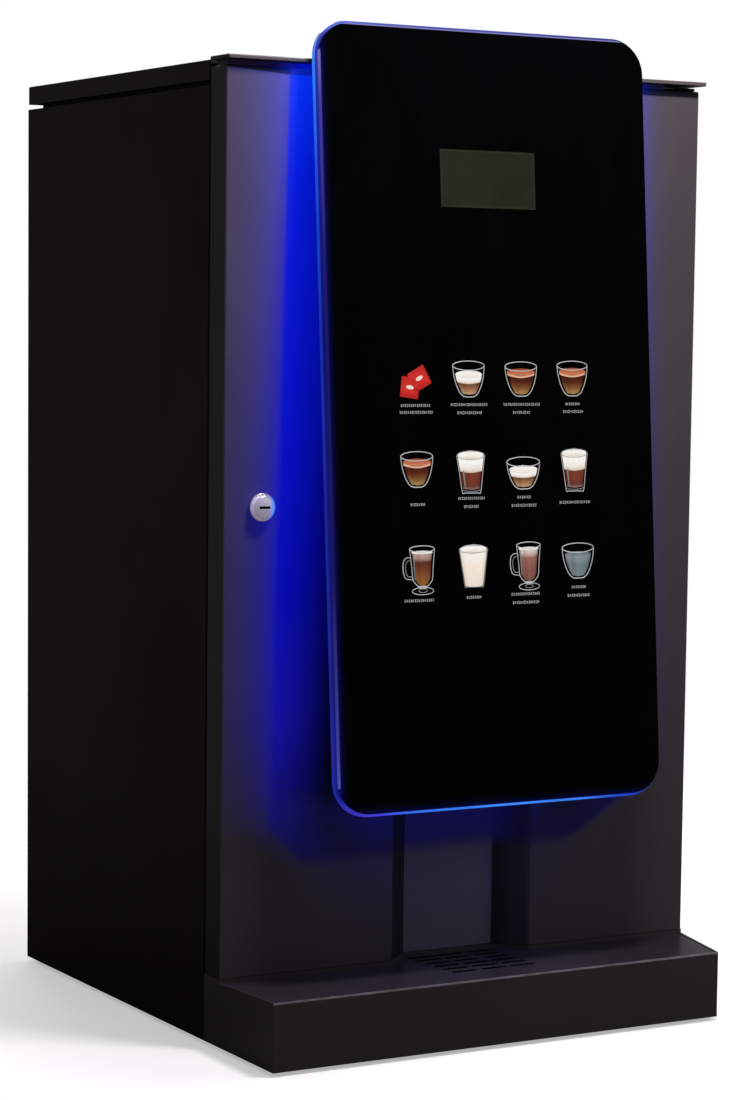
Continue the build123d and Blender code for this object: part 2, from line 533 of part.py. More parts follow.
with BuildPart() as fan_rotor:
    rod((FAN_X, FAN_Y + 3.0, FAN_Z), (0, 1, 0), 16.0, 14.5)
    rod((FAN_X, FAN_Y + 17.0, FAN_Z), (0, 1, 0), 2.0, 5.0)
    for k in range(7):
        a = math.radians(k * 360.0 / 7)
        with BuildSketch(Plane(origin=(FAN_X + 14.0 * math.cos(a), FAN_Y + 10.0, FAN_Z + 14.0 * math.sin(a)),
                               x_dir=(-math.sin(a) * 0.78, 0.62, math.cos(a) * 0.78),
                               z_dir=(math.cos(a), 0, math.sin(a)))) as blade:
            Rectangle(17.0, 1.6)
        extrude(blade.sketch, amount=25.0)
fan_rotor.part.label = "fan_rotor"
export_step(fan_rotor.part, "parts/fan_rotor.step")

# mains inlet with its switch opening, flange outside the rear panel
with BuildPart() as mains_inlet:
    slab(-160.0, -120.0, Y_REAR + SHEET, Y_REAR + SHEET + 2.4, 46.0, 106.0)
    slab(-155.5, -124.5, 180.0, Y_REAR + SHEET, 50.5, 101.5)
    slab(-153.5, -126.5, 196.0, Y_REAR + 6, 53.0, 73.0, mode=Mode.SUBTRACT)
    slab(-150.0, -130.0, 192.0, Y_REAR + 6, 78.0, 98.0, mode=Mode.SUBTRACT)
    # three contact blades
    for x, z in ((-147.0, 61.0), (-133.0, 61.0), (-140.0, 66.0)):
        slab(x - 1, x + 1, 195.0, 207.0, z - 2.5, z + 2.5)
    # pivot stubs for the switch
    for x0 in (-150.1, -134.0):
        rod((x0, 205.0, 88.0), (1, 0, 0), 1.6, 4.1)
mains_inlet.part.label = "mains_inlet"
export_step(mains_inlet.part, "parts/mains_inlet.step")

with BuildPart() as power_switch:
    with BuildSketch(Plane(origin=(-148.3, 0, 0), x_dir=(0, 1, 0), z_dir=(1, 0, 0))) as rocker:
        with BuildLine():
            Polyline((201.5, 80.6), (210.4, 80.2), (208.4, 88.0), (211.6, 95.8), (202.5, 95.6), close=True)
        make_face()
    extrude(rocker.sketch, amount=16.6)
    rod((-149.0, 205.0, 88.0), (1, 0, 0), 1.65, 18.0, mode=Mode.SUBTRACT)
power_switch.part.label = "power_switch"
export_step(power_switch.part, "parts/power_switch.step")

with BuildPart() as water_inlet_fitting:
    rod((-60.0, Y_REAR - 6.0, 60.0), (0, 1, 0), 14.0, 5.9)
    rod((-60.0, 186.0, 60.0), (0, 1, 0), 10.0, 26.6)
    rod((-60.0, 185.0, 60.0), (0, 1, 0), 5.0, 40.0, mode=Mode.SUBTRACT)
water_inlet_fitting.part.label = "water_inlet_fitting"
export_step(water_inlet_fitting.part, "parts/water_inlet_fitting.step")

# ---- hoses from the bowls and the brewer to the outlet block
OUT_X = (-21.0, -5.0, 11.0)
with BuildPart() as outlet_block:
    slab(-31.0, 21.0, -104.0, -90.0, 168.0, 188.0)
    for x in OUT_X:
        rod((x, -104.0, 176.0), (0, -1, 0), 5.0, 2.4)
    for x in OUT_X:
        rod((x, -97.0, 189.0), (0, 0, -1), 3.6, 13.0, mode=Mode.SUBTRACT)
        rod((x, -96.0, 176.0), (0, -1, 0), 3.6, 12.0, mode=Mode.SUBTRACT)
outlet_block.part.label = "outlet_block"
export_step(outlet_block.part, "parts/outlet_block.step")

HOSE_R = 4.5
with BuildPart() as drink_hoses:
    for route, radii in (
        (((-116.0, -89.1, 217.0), (-116.0, -99.0, 217.0), (-30.0, -98.0, 210.0), (-21.0, -97.0, 205.0),
          (-21.0, -97.0, 188.1)), (6.5, 9.0, 9.0)),
        (((-5.0, -89.1, 217.0), (-5.0, -97.0, 217.0), (-5.0, -97.0, 188.1)), (7.0,)),
        (((128.0, -14.1, 229.0), (128.0, -62.0, 229.0), (60.0, -97.0, 217.0), (20.0, -97.5, 211.0),
          (11.0, -97.0, 204.0), (11.0, -97.0, 188.1)), (24.0, 30.0, 9.0, 9.0)),
    ):
        with BuildLine() as path:
            FilletPolyline(*route, radius=radii)
        with BuildSketch(Plane(origin=path.line @ 0, z_dir=path.line % 0)) as bore:
            Circle(HOSE_R)
        sweep(bore.sketch, path=path.line)
drink_hoses.part.label = "drink_hoses"
export_step(drink_hoses.part, "parts/drink_hoses.step")

# ================================================================ lid
with BuildPart() as top_lid:
    slab(-HX, HX, Y_CAB, Y_BACK, Z_LID0, Z_LID1)
    fillet(top_lid.edges().filter_by(Axis.Z), 1.5)
    fillet(top_lid.faces().sort_by(Axis.Z)[-1].edges(), 1.0)
    slab(-HX + 1.2, HX - 1.2, Y_CAB + 1.2, Y_BACK - 1.2, Z_LID0 - 1, Z_LID1 - 1.2, mode=Mode.SUBTRACT)
    # knuckles of the rear hinge
    for x in LID_EARS:
        slab(x - 15.0, x + 15.0, LID_AX_Y - 4.0, LID_AX_Y + 4.0, LID_AX_Z, Z_LID1 - 1.0)
        rod((x - 15.0, LID_AX_Y, LID_AX_Z), (1, 0, 0), 4.0, 30.0)
    for x in LID_EARS:
        rod((x - 16.0, LID_AX_Y, LID_AX_Z), (1, 0, 0), 2.05, 32.0, mode=Mode.SUBTRACT)
    # slots in the rear wall that let it swing down past the ears
    for x in LID_EARS:
        slab(x - 20.0, x + 20.0, Y_BACK - 1.4, Y_BACK + 1, Z_LID0 - 1, Z_LID1 - 1.2, mode=Mode.SUBTRACT)
    # notch for the upper hinge arm of the door
    slab(182.0, 198.8, Y_CAB - 1, Y_CAB + 1.3, Z_LID0 - 1, 696.6, mode=Mode.SUBTRACT)
top_lid.part.label = "top_lid"
export_step(top_lid.part, "parts/top_lid.step")

# ================================================================ door
with BuildPart() as door_face:
    slab(-HX, HX, Y_FACE, Y_DOOR_B, Z_DOOR0, Z_DOOR1)
    fillet(door_face.edges().filter_by(Axis.Z).filter_by_position(Axis.Y, Y_FACE - 0.01, Y_FACE + 0.01), 1.6)
    fillet(door_face.faces().sort_by(Axis.Y)[0].edges().filter_by(Axis.X).sort_by(Axis.Z)[-1:], 1.2)
    slab(-HX + SHEET, HX - SHEET, Y_FACE + SHEET, Y_DOOR_B + 1, Z_DOOR0 + SHEET, Z_DOOR1 - SHEET, mode=Mode.SUBTRACT)
    # opening for the recessed splash panel, down to the lower edge
    slab(-NICHE_HX0, NICHE_HX0, Y_FACE - 1, Y_DOOR_B + 1, Z_DOOR0 - 1, NICHE_Z1, mode=Mode.SUBTRACT)
    # lock hole, hinge pin holes
    rod((LOCK_X, Y_FACE - 1, LOCK_Z), (0, 1, 0), 8.0, 4.0, mode=Mode.SUBTRACT)
    rod((HINGE_X, HINGE_Y, Z_DOOR0 - 1), (0, 0, 1), HINGE_BORE_R, 4.0, mode=Mode.SUBTRACT)
    rod((HINGE_X, HINGE_Y, Z_DOOR1 - 3), (0, 0, 1), HINGE_BORE_R, 4.0, mode=Mode.SUBTRACT)
door_face.part.label = "door_face"
export_step(door_face.part, "parts/door_face.step")

with BuildPart() as splash_panel:
    # flared channel: two sloping cheeks and a flat back
    prism_z(((-NICHE_HX0, Y_FACE), (-NICHE_HX1, NICHE_Y), (NICHE_HX1, NICHE_Y), (NICHE_HX0, Y_FACE),
             (NICHE_HX0, Y_FACE + 1.8), (NICHE_HX1 + 0.7, NICHE_Y + 1.2), (-NICHE_HX1 - 0.7, NICHE_Y + 1.2),
             (-NICHE_HX0, Y_FACE + 1.8)), Z_DOOR0, NICHE_Z1)
    # closed top
    prism_z(((-NICHE_HX0, Y_FACE), (-NICHE_HX1, NICHE_Y), (NICHE_HX1, NICHE_Y), (NICHE_HX0, Y_FACE)),
            NICHE_Z1 - 1.5, NICHE_Z1)
    # opening for the drink spout
    slab(-24.0, 24.0, NICHE_Y - 1, NICHE_Y + 3, 164.0, 186.0, mode=Mode.SUBTRACT)
splash_panel.part.label = "splash_panel"
export_step(splash_panel.part, "parts/splash_panel.step")

with BuildPart() as door_liner:
    slab(-HX + SHEET + 0.1, HX - SHEET - 0.1, Y_DOOR_B - 1.2, Y_DOOR_B, Z_DOOR0 + SHEET + 0.1, Z_DOOR1 - SHEET - 0.1)
    slab(-62.0, 62.0, Y_DOOR_B - 2, Y_DOOR_B + 1, Z_DOOR0, 200.0, mode=Mode.SUBTRACT)
    rod((LOCK_X, Y_DOOR_B - 3, LOCK_Z), (0, 1, 0), 8.1, 5.0, mode=Mode.SUBTRACT)
door_liner.part.label = "door_liner"
export_step(door_liner.part, "parts/door_liner.step")

with BuildPart() as door_bushes:
    rod((HINGE_X, HINGE_Y, Z_DOOR0 + SHEET), (0, 0, 1), 4.7, 11.0)
    rod((HINGE_X, HINGE_Y, Z_DOOR1 - SHEET), (0, 0, -1), 4.7, 11.0)
    rod((HINGE_X, HINGE_Y, Z_DOOR0), (0, 0, 1), HINGE_BORE_R, 20.0, mode=Mode.SUBTRACT)
    rod((HINGE_X, HINGE_Y, Z_DOOR1), (0, 0, -1), HINGE_BORE_R, 20.0, mode=Mode.SUBTRACT)
door_bushes.part.label = "door_bushes"
export_step(door_bushes.part, "parts/door_bushes.step")

with BuildPart() as door_top_cap:
    slab(-CAP_HX, CAP_HX, CAP_Y0, CAP_Y1, CAP_Z0, CAP_Z1)
    fillet(door_top_cap.edges().filter_by(Axis.Z), 1.5)
    fillet(door_top_cap.faces().sort_by(Axis.Y)[0].edges().filter_by(Axis.X), 0.8)
    # recessed neck on top of the door
    slab(-197.0, 170.0, -128.0, -111.0, Z_DOOR1, CAP_Z0)
door_top_cap.part.label = "door_top_cap"
export_step(door_top_cap.part, "parts/door_top_cap.step")

# housing behind the leaning glass: a wedge frame, open front and back
with BuildPart() as glass_housing:
    f0, f1 = panel_y(HOUSE_Z0, GLASS_T + GUIDE_T + 0.05), panel_y(HOUSE_Z1, GLASS_T + GUIDE_T + 0.05)
    prism_x(((f0, HOUSE_Z0), (Y_FACE, HOUSE_Z0), (Y_FACE, HOUSE_Z1), (f1, HOUSE_Z1)), -HOUSE_HX, HOUSE_HX)
    g0 = panel_y(HOUSE_Z0 + HOUSE_WALL, -5.0)
    g1 = panel_y(HOUSE_Z1 - HOUSE_WALL, -5.0)
    prism_x(((g0, HOUSE_Z0 + HOUSE_WALL), (Y_FACE + 1, HOUSE_Z0 + HOUSE_WALL), (Y_FACE + 1, HOUSE_Z1 - HOUSE_WALL),
             (g1, HOUSE_Z1 - HOUSE_WALL)), -HOUSE_HX + HOUSE_WALL, HOUSE_HX - HOUSE_WALL, mode=Mode.SUBTRACT)
glass_housing.part.label = "glass_housing"
export_step(glass_housing.part, "parts/glass_housing.step")

with BuildPart() as light_guide:
    with BuildSketch(panel_plane(GLASS_T)) as guide:
        with Locations((0, PANEL_L / 2)):
            RectangleRounded(PANEL_W, PANEL_L, PANEL_R)
        with Locations((-1.0, 450.0)):
            Rectangle(84.0, 46.0, mode=Mode.SUBTRACT)
    extrude(guide.sketch, amount=-GUIDE_T)
light_guide.part.label = "light_guide"
export_step(light_guide.part, "parts/light_guide.step")

with BuildPart() as glass_panel:
    with BuildSketch(panel_plane(0.0)) as pane:
        with Locations((0, PANEL_L / 2)):
            RectangleRounded(GLASS_W, PANEL_L - (PANEL_W - GLASS_W), GLASS_R)
    extrude(pane.sketch, amount=-GLASS_T)
    chamfer(glass_panel.faces().sort_by(Axis.Y)[0].edges(), 0.6)
glass_panel.part.label = "glass_panel"
export_step(glass_panel.part, "parts/glass_panel.step")

with BuildPart() as display_module:
    with BuildSketch(panel_plane(GLASS_T + 0.1)) as lcd:
        with Locations((-1.0, 450.0)):
            Rectangle(83.0, 45.0)
    extrude(lcd.sketch, amount=-GUIDE_T)
    with BuildSketch(panel_plane(GLASS_T + GUIDE_T + 0.1)) as board:
        with Locations((-1.0, 450.0)):
            Rectangle(104.0, 62.0)
    extrude(board.sketch, amount=-5.0)
display_module.part.label = "display_module"
export_step(display_module.part, "parts/display_module.step")

with BuildPart() as touch_board:
    with BuildSketch(panel_plane(GLASS_T + GUIDE_T + 0.1)) as sensor:
        with Locations((0, 232.0)):
            Rectangle(190.0, 190.0)
    extrude(sensor.sketch, amount=-1.6)
    with BuildSketch(panel_plane(GLASS_T + GUIDE_T + 1.7)) as pads:
        with Locations((0, 240.0)):
            with GridLocations(44.4, 66.5, 4, 3):
                Circle(8.0)
    extrude(pads.sketch, amount=-0.8)
touch_board.part.label = "touch_board"
export_step(touch_board.part, "parts/touch_board.step")

with BuildPart() as control_board:
    slab(-80.0, 80.0, Y_FACE - 7.6, Y_FACE - 6.0, 240.0, 380.0)
    for x in (-72.0, 72.0):
        for z in (248.0, 372.0):
            rod((x, Y_FACE, z), (0, -1, 0), 3.0, 6.0)
    for x, z, w, h, t in ((-40, 330, 28, 28, 3), (20, 340, 18, 18, 2.5), (45, 280, 50, 16, 9), (-45, 270, 40, 14, 8), (0, 300, 12, 12, 2)):
        slab(x - w / 2, x + w / 2, Y_FACE - 7.6 - t, Y_FACE - 7.6, z - h / 2, z + h / 2)
control_board.part.label = "control_board"
export_step(control_board.part, "parts/control_board.step")

with BuildPart() as led_strips:
    for sx in (-1, 1):
        lo, hi = sorted((sx * HOUSE_HX, sx * (HOUSE_HX + 2.5)))
        prism_x(((panel_y(210.0, 11.0), 210.0), (panel_y(210.0, 19.0), 210.0), (panel_y(670.0, 14.0), 670.0),
                 (panel_y(670.0, 9.0), 670.0)), lo, hi)
    slab(-95.0, 95.0, panel_y(HOUSE_Z0, 11.0), panel_y(HOUSE_Z0, 21.0), HOUSE_Z0 - 2.5, HOUSE_Z0)
    slab(-95.0, 95.0, panel_y(HOUSE_Z1, 9.5), panel_y(HOUSE_Z1, 14.0), HOUSE_Z1, HOUSE_Z1 + 2.5)
led_strips.part.label = "led_strips"
export_step(led_strips.part, "parts/led_strips.step")

with BuildPart() as drink_chute:
    # collecting funnel inside the door, spout bending forward over the cup
    prism_x(((-107.4, 166.0), (-107.4, 184.0), (-128.0, 182.0), (-158.0, 181.0), (-160.0, 172.0), (-150.0, 171.0),
             (-128.0, 168.0)), -22.0, 22.0)
    prism_x(((-106.0, 169.0), (-106.0, 186.0), (-128.0, 184.0), (-145.0, 179.0), (-152.0, 176.0), (-128.0, 171.0)),
            -19.0, 19.0, mode=Mode.SUBTRACT)
    for x in (-11.0, 11.0):
        rod((x, -152.0, 178.0), (0, 0, -1), 6.0, 12.0)
    for x in (-11.0, 11.0):
        rod((x, -152.0, 180.0), (0, 0, -1), 4.0, 20.0, mode=Mode.SUBTRACT)
drink_chute.part.label = "drink_chute"
export_step(drink_chute.part, "parts/drink_chute.step")

with BuildPart() as lock_body:
    rod((LOCK_X, Y_FACE - 3.0, LOCK_Z), (0, 1, 0), LOCK_R, 3.0)
    rod((LOCK_X, Y_FACE, LOCK_Z), (0, 1, 0), 7.9, 24.0)
    fillet(lock_body.faces().sort_by(Axis.Y)[0].edges(), 0.8)
    rod((LOCK_X, Y_FACE - 4.0, LOCK_Z), (0, 1, 0), PLUG_R + 0.05, 30.0, mode=Mode.SUBTRACT)
lock_body.part.label = "lock_body"
export_step(lock_body.part, "parts/lock_body.step")

with BuildPart() as lock_plug:
    rod((LOCK_X, Y_FACE - 6.0, LOCK_Z), (0, 1, 0), 8.2, 2.8)
    rod((LOCK_X, Y_FACE - 3.2, LOCK_Z), (0, 1, 0), PLUG_R, Y_CAB + 2.0 - (Y_FACE - 3.2))
    fillet(lock_plug.faces().sort_by(Axis.Y)[0].edges(), 0.7)
    # key slot, lying level
    slab(LOCK_X - 4.2, LOCK_X + 4.2, Y_FACE - 7.0, Y_FACE - 1.5, LOCK_Z - 0.9, LOCK_Z + 0.9, mode=Mode.SUBTRACT)
    # cam behind the door, hanging down while unlocked
    slab(LOCK_X - 7.0, LOCK_X + 7.0, Y_CAB + 2.0, Y_CAB + 4.5, LOCK_Z - 24.0, LOCK_Z + 7.0)
lock_plug.part.label = "lock_plug"
export_step(lock_plug.part, "parts/lock_plug.step")

# ================================================================ drip tray
TRAY_SLOPE = (TRAY_ZF - TRAY_ZB) / (Y_FACE - Y_TRAY)


def tray_top(y):
    """Height of the gently rising top of the tray at y."""
    return TRAY_ZB + (Y_FACE - y) * TRAY_SLOPE


def right_end(y):
    """X of the right end wall of the tray at y."""
    if y >= Y_FACE:
        return HX
    return HX - (HX - TRAY_RIGHT_FRONT) * (Y_FACE - y) / (Y_FACE - Y_TRAY)


with BuildPart() as drip_tray_box:
    prism_z(((-HX, Y_TRAY), (TRAY_RIGHT_FRONT, Y_TRAY), (HX, Y_FACE), (HX, TRAY_REAR), (-HX, TRAY_REAR)), TRAY_Z0, 56.0)
    # catch basin under the grille
    prism_z(((-HX + 1.6, Y_TRAY + 1.6), (TRAY_RIGHT_FRONT - 1.2, Y_TRAY + 1.6), (right_end(DECK_Y) - 2.0, DECK_Y),
             (GRILLE_HX + 1.6, DECK_Y), (GRILLE_HX + 1.6, -111.3), (-GRILLE_HX - 1.6, -111.3),
             (-GRILLE_HX - 1.6, DECK_Y), (-HX + 1.6, DECK_Y)), TRAY_Z0 + 1.6, 57.0, mode=Mode.SUBTRACT)
    # hollow under the rear deck on both sides
    slab(-HX + 1.6, -GRILLE_HX - 3.2, DECK_Y - 0.01, -108.0, TRAY_Z0 + 1.6, 46.8, mode=Mode.SUBTRACT)
    slab(GRILLE_HX + 3.2, HX - 1.6, DECK_Y - 0.01, -108.0, TRAY_Z0 + 1.6, 46.8, mode=Mode.SUBTRACT)
    # gently rising top in front of the door, a raised deck that closes the gap under it
    prism_x(((Y_TRAY - 1, tray_top(Y_TRAY - 1)), (DECK_Y + 0.5, tray_top(DECK_Y + 0.5)), (DECK_Y + 0.5, 60.0),
             (Y_TRAY - 1, 60.0)), -HX - 1, HX + 1, mode=Mode.SUBTRACT)
    slab(-HX - 1, HX + 1, DECK_Y - 1, TRAY_REAR + 1, TRAY_DECK, 60.0, mode=Mode.SUBTRACT)
    # the deck follows the flared recess and leaves room for the lower hinge arm
    prism_z(((-NICHE_HX0 - 0.4, DECK_Y), (-NICHE_HX1 - 0.3, NICHE_Y + 0.1), (NICHE_HX1 + 0.3, NICHE_Y + 0.1),
             (NICHE_HX0 + 0.4, DECK_Y)), tray_top(NICHE_Y), 60.0, mode=Mode.SUBTRACT)
    slab(183.0, HX + 1, -129.0, TRAY_REAR + 1, 49.0, 60.0, mode=Mode.SUBTRACT)
    # drawer that reaches back between the side panels
    slab(-150.0, 60.0, TRAY_REAR, -20.0, 9.0, 44.0)
    slab(-148.4, 58.4, TRAY_REAR - 2.0, -21.6, 10.6, 45.0, mode=Mode.SUBTRACT)
    # ledges that carry the grille
    slab(-HX + 1.6, TRAY_RIGHT_FRONT - 6.0, Y_TRAY + 1.5, Y_TRAY + 4.0, 46.0, 49.6)
    slab(-HX + 1.6, -HX + 4.0, Y_TRAY + 1.6, DECK_Y, 44.0, 47.4)
drip_tray_box.part.label = "drip_tray_box"
export_step(drip_tray_box.part, "parts/drip_tray_box.step")

GRILLE_T = 1.5
with BuildPart() as drip_tray_cover:
    prism_x(((Y_TRAY + 2.0, tray_top(Y_TRAY + 2.0) - 0.5), (-111.7, tray_top(-111.7) - 0.5),
             (-111.7, tray_top(-111.7) - 0.5 - GRILLE_T), (Y_TRAY + 2.0, tray_top(Y_TRAY + 2.0) - 0.5 - GRILLE_T)),
            -HX + 2.0, HX - 2.0)
    # plan outline: tapered right end and the tab that runs into the recess
    prism_z(((TRAY_RIGHT_FRONT - 1.9, Y_TRAY - 5), (HX + 5, Y_TRAY - 5), (HX + 5, -100.0), (GRILLE_HX + 1.2, -100.0),
             (GRILLE_HX + 1.2, DECK_Y - 0.4), (right_end(DECK_Y) - 2.5, DECK_Y - 0.4),
             (TRAY_RIGHT_FRONT - 1.6, Y_TRAY + 1.0)), 30.0, 70.0, mode=Mode.SUBTRACT)
    prism_z(((-GRILLE_HX - 1.2, -100.0), (-HX - 5, -100.0), (-HX - 5, DECK_Y - 0.4), (-GRILLE_HX - 1.2, DECK_Y - 0.4)),
            30.0, 70.0, mode=Mode.SUBTRACT)
    # drain slots under the cup, three to a row
    with BuildSketch(Plane.XY.offset(40.0)) as slots:
        with Locations((0, -146.0)):
            with GridLocations(25.0, 12.5, 3, 6):
                SlotOverall(21.5, 5.0)
    extrude(slots.sketch, amount=20.0, mode=Mode.SUBTRACT)
drip_tray_cover.part.label = "drip_tray_cover"
export_step(drip_tray_cover.part, "parts/drip_tray_cover.step")
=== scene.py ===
import math

import bmesh
import bpy
from mathutils import Matrix, Vector


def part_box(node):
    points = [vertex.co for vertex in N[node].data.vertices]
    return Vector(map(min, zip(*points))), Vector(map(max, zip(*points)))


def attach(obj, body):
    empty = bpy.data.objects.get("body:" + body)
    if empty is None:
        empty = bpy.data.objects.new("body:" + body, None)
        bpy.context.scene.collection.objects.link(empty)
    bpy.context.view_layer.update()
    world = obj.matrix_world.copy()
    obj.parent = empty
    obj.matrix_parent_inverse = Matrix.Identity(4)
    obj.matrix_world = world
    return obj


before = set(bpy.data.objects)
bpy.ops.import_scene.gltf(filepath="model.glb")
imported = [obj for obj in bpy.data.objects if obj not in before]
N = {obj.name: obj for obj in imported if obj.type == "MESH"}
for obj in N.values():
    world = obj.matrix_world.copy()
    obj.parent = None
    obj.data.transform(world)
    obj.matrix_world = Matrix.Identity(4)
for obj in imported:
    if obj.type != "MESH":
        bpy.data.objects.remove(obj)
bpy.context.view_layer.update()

scene = bpy.context.scene
scene.view_settings.view_transform = "Standard"
scene.view_settings.look = "None"
scene.view_settings.exposure = 0.0
scene.view_settings.gamma = 1.0


# ---------------------------------------------------------------- camera
cam_data = bpy.data.cameras.new("camera_main")
cam_data.sensor_width = 36.0
cam_data.sensor_fit = "AUTO"
F_PX, CX, CY = 2993.3463, 379.6674, 600.8068
cam_data.lens = F_PX / 1100.0 * 36.0
cam_data.shift_x = (372.0 - CX) / 1100.0
cam_data.shift_y = (CY - 550.0) / 1100.0
cam_data.clip_start, cam_data.clip_end = 0.05, 60.0
cam = bpy.data.objects.new("camera_main", cam_data)
scene.collection.objects.link(cam)
right = Vector((0.86743328, -0.49740133, 0.01230516))
down = Vector((-0.03607845, -0.08754606, -0.99550692))
ahead = Vector((0.49624374, 0.86309188, -0.09388583))
m = Matrix((right, -down, -ahead)).transposed().to_4x4()
m.translation = Vector((-1.144556, -1.994775, 0.520097))
cam.matrix_world = m
scene.camera = cam


def srgb(r, g, b):
    """Linear colour of an 0..255 display colour."""
    out = []
    for v in (r, g, b):
        v = v / 255.0
        out.append(v / 12.92 if v <= 0.04045 else ((v + 0.055) / 1.055) ** 2.4)
    return tuple(out)


# ---------------------------------------------------------------- node helpers
class Net:
    """A material's node tree with short calls for its maths."""

    def __init__(self, name):
        self.mat = bpy.data.materials.new(name)
        self.mat.use_nodes = True
        self.t = self.mat.node_tree
        self.t.nodes.clear()
        self.out = self.t.nodes.new("ShaderNodeOutputMaterial")
        self._pos = None

    def node(self, kind, **props):
        n = self.t.nodes.new(kind)
        for k, v in props.items():
            setattr(n, k, v)
        return n

    def put(self, socket, v):
        if isinstance(v, bpy.types.NodeSocket):
            self.t.links.new(v, socket)
        elif isinstance(v, tuple) and len(v) == 3 and socket.type == "RGBA":
            socket.default_value = (*v, 1.0)
        else:
            socket.default_value = v

    def math(self, op, a, b=0.0, c=0.0, clamp=False):
        n = self.node("ShaderNodeMath", operation=op, use_clamp=clamp)
        self.put(n.inputs[0], a)
        self.put(n.inputs[1], b)
        self.put(n.inputs[2], c)
        return n.outputs[0]

    def add(self, a, b): return self.math("ADD", a, b)
    def sub(self, a, b): return self.math("SUBTRACT", a, b)
    def mul(self, a, b): return self.math("MULTIPLY", a, b)

    def step(self, v, lo, hi):
        """Smooth 0 to 1 as v goes from lo to hi."""
        n = self.node("ShaderNodeMapRange", interpolation_type="SMOOTHSTEP", clamp=True)
        self.put(n.inputs["Value"], v)
        self.put(n.inputs["From Min"], lo)
        self.put(n.inputs["From Max"], hi)
        return n.outputs["Result"]

    def lin(self, v, lo, hi, a=0.0, b=1.0):
        n = self.node("ShaderNodeMapRange", clamp=True)
        self.put(n.inputs["Value"], v)
        self.put(n.inputs["From Min"], lo)
        self.put(n.inputs["From Max"], hi)
        self.put(n.inputs["To Min"], a)
        self.put(n.inputs["To Max"], b)
        return n.outputs["Result"]

    def coords(self):
        if self._pos is None:
            c = self.node("ShaderNodeTexCoord")
            s = self.node("ShaderNodeSeparateXYZ")
            self.put(s.inputs[0], c.outputs["Object"])
            self._pos = (c.outputs["Object"], s.outputs[0], s.outputs[1], s.outputs[2], c.outputs["UV"])
        return self._pos

    def noise(self, scale, detail=2.0, rough=0.5, stretch=None, dist=0.0):
        co = self.coords()[0]
        if stretch:
            mp = self.node("ShaderNodeMapping")
            mp.inputs["Scale"].default_value = stretch
            self.put(mp.inputs["Vector"], co)
            co = mp.outputs[0]
        n = self.node("ShaderNodeTexNoise")
        self.put(n.inputs["Vector"], co)
        n.inputs["Scale"].default_value = scale
        n.inputs["Detail"].default_value = detail
        n.inputs["Roughness"].default_value = rough
        n.inputs["Distortion"].default_value = dist
        return n.outputs["Fac"]

    def ramp(self, v, stops, mode="LINEAR"):
        n = self.node("ShaderNodeValToRGB")
        n.color_ramp.interpolation = mode
        e = n.color_ramp.elements
        while len(e) < len(stops):
            e.new(0.5)
        for i, (p, col) in enumerate(stops):
            e[i].position = p
            e[i].color = (*col, 1.0) if len(col) == 3 else col
        self.put(n.inputs[0], v)
        return n.outputs[0]

    def mix(self, f, a, b, blend="MIX"):
        n = self.node("ShaderNodeMix", data_type="RGBA", blend_type=blend, clamp_factor=True)
        self.put(n.inputs["Factor"], f)
        self.put(n.inputs[6], a)
        self.put(n.inputs[7], b)
        return n.outputs[2]

    def bump(self, h, strength, distance, normal=None):
        n = self.node("ShaderNodeBump")
        n.inputs["Strength"].default_value = strength
        n.inputs["Distance"].default_value = distance
        self.put(n.inputs["Height"], h)
        if normal is not None:
            self.put(n.inputs["Normal"], normal)
        return n.outputs[0]

    def surface(self, base, rough, metallic=0.0, spec=0.5, normal=None, emit=None, emit_strength=1.0,
                coat=0.0, coat_rough=0.1, alpha=None, trans=0.0, ior=1.5, sheen=0.0):
        p = self.node("ShaderNodeBsdfPrincipled")
        self.put(p.inputs["Base Color"], base)
        self.put(p.inputs["Roughness"], rough)
        p.inputs["Metallic"].default_value = metallic
        p.inputs["Specular IOR Level"].default_value = spec
        p.inputs["IOR"].default_value = ior
        p.inputs["Coat Weight"].default_value = coat
        p.inputs["Coat Roughness"].default_value = coat_rough
        p.inputs["Transmission Weight"].default_value = trans
        p.inputs["Sheen Weight"].default_value = sheen
        if normal is not None:
            self.put(p.inputs["Normal"], normal)
        if emit is not None:
            self.put(p.inputs["Emission Color"], emit)
            self.put(p.inputs["Emission Strength"], emit_strength)
        if alpha is not None:
            self.put(p.inputs["Alpha"], alpha)
        self.t.links.new(p.outputs[0], self.out.inputs[0])
        return self.mat


def scaled(c, k):
    return tuple(min(1.0, max(0.0, v * k)) for v in c)


def moulded(name, base, rough=0.45, spec=0.4, grain=900.0, depth=0.00006, vary=0.12, coat=0.0, trans=0.0, alpha=None,
            metallic=0.0, patch=9.0):
    """Painted or moulded surface: fine texture, slow colour drift and uneven gloss."""
    n = Net(name)
    drift = n.noise(patch, 4.0, 0.55)
    fine = n.noise(grain, 2.0, 0.5)
    colour = n.mix(n.lin(drift, 0.3, 0.7), scaled(base, 1.0 - vary), scaled(base, 1.0 + vary))
    colour = n.mix(n.mul(n.lin(fine, 0.35, 0.65), 0.25), colour, scaled(base, 0.7))
    r = n.add(n.lin(drift, 0.3, 0.7, rough - 0.05, rough + 0.06), n.lin(fine, 0.3, 0.7, -0.02, 0.02))
    return n.surface(colour, r, metallic, spec, n.bump(fine, 0.35, depth), coat=coat, trans=trans, alpha=alpha)


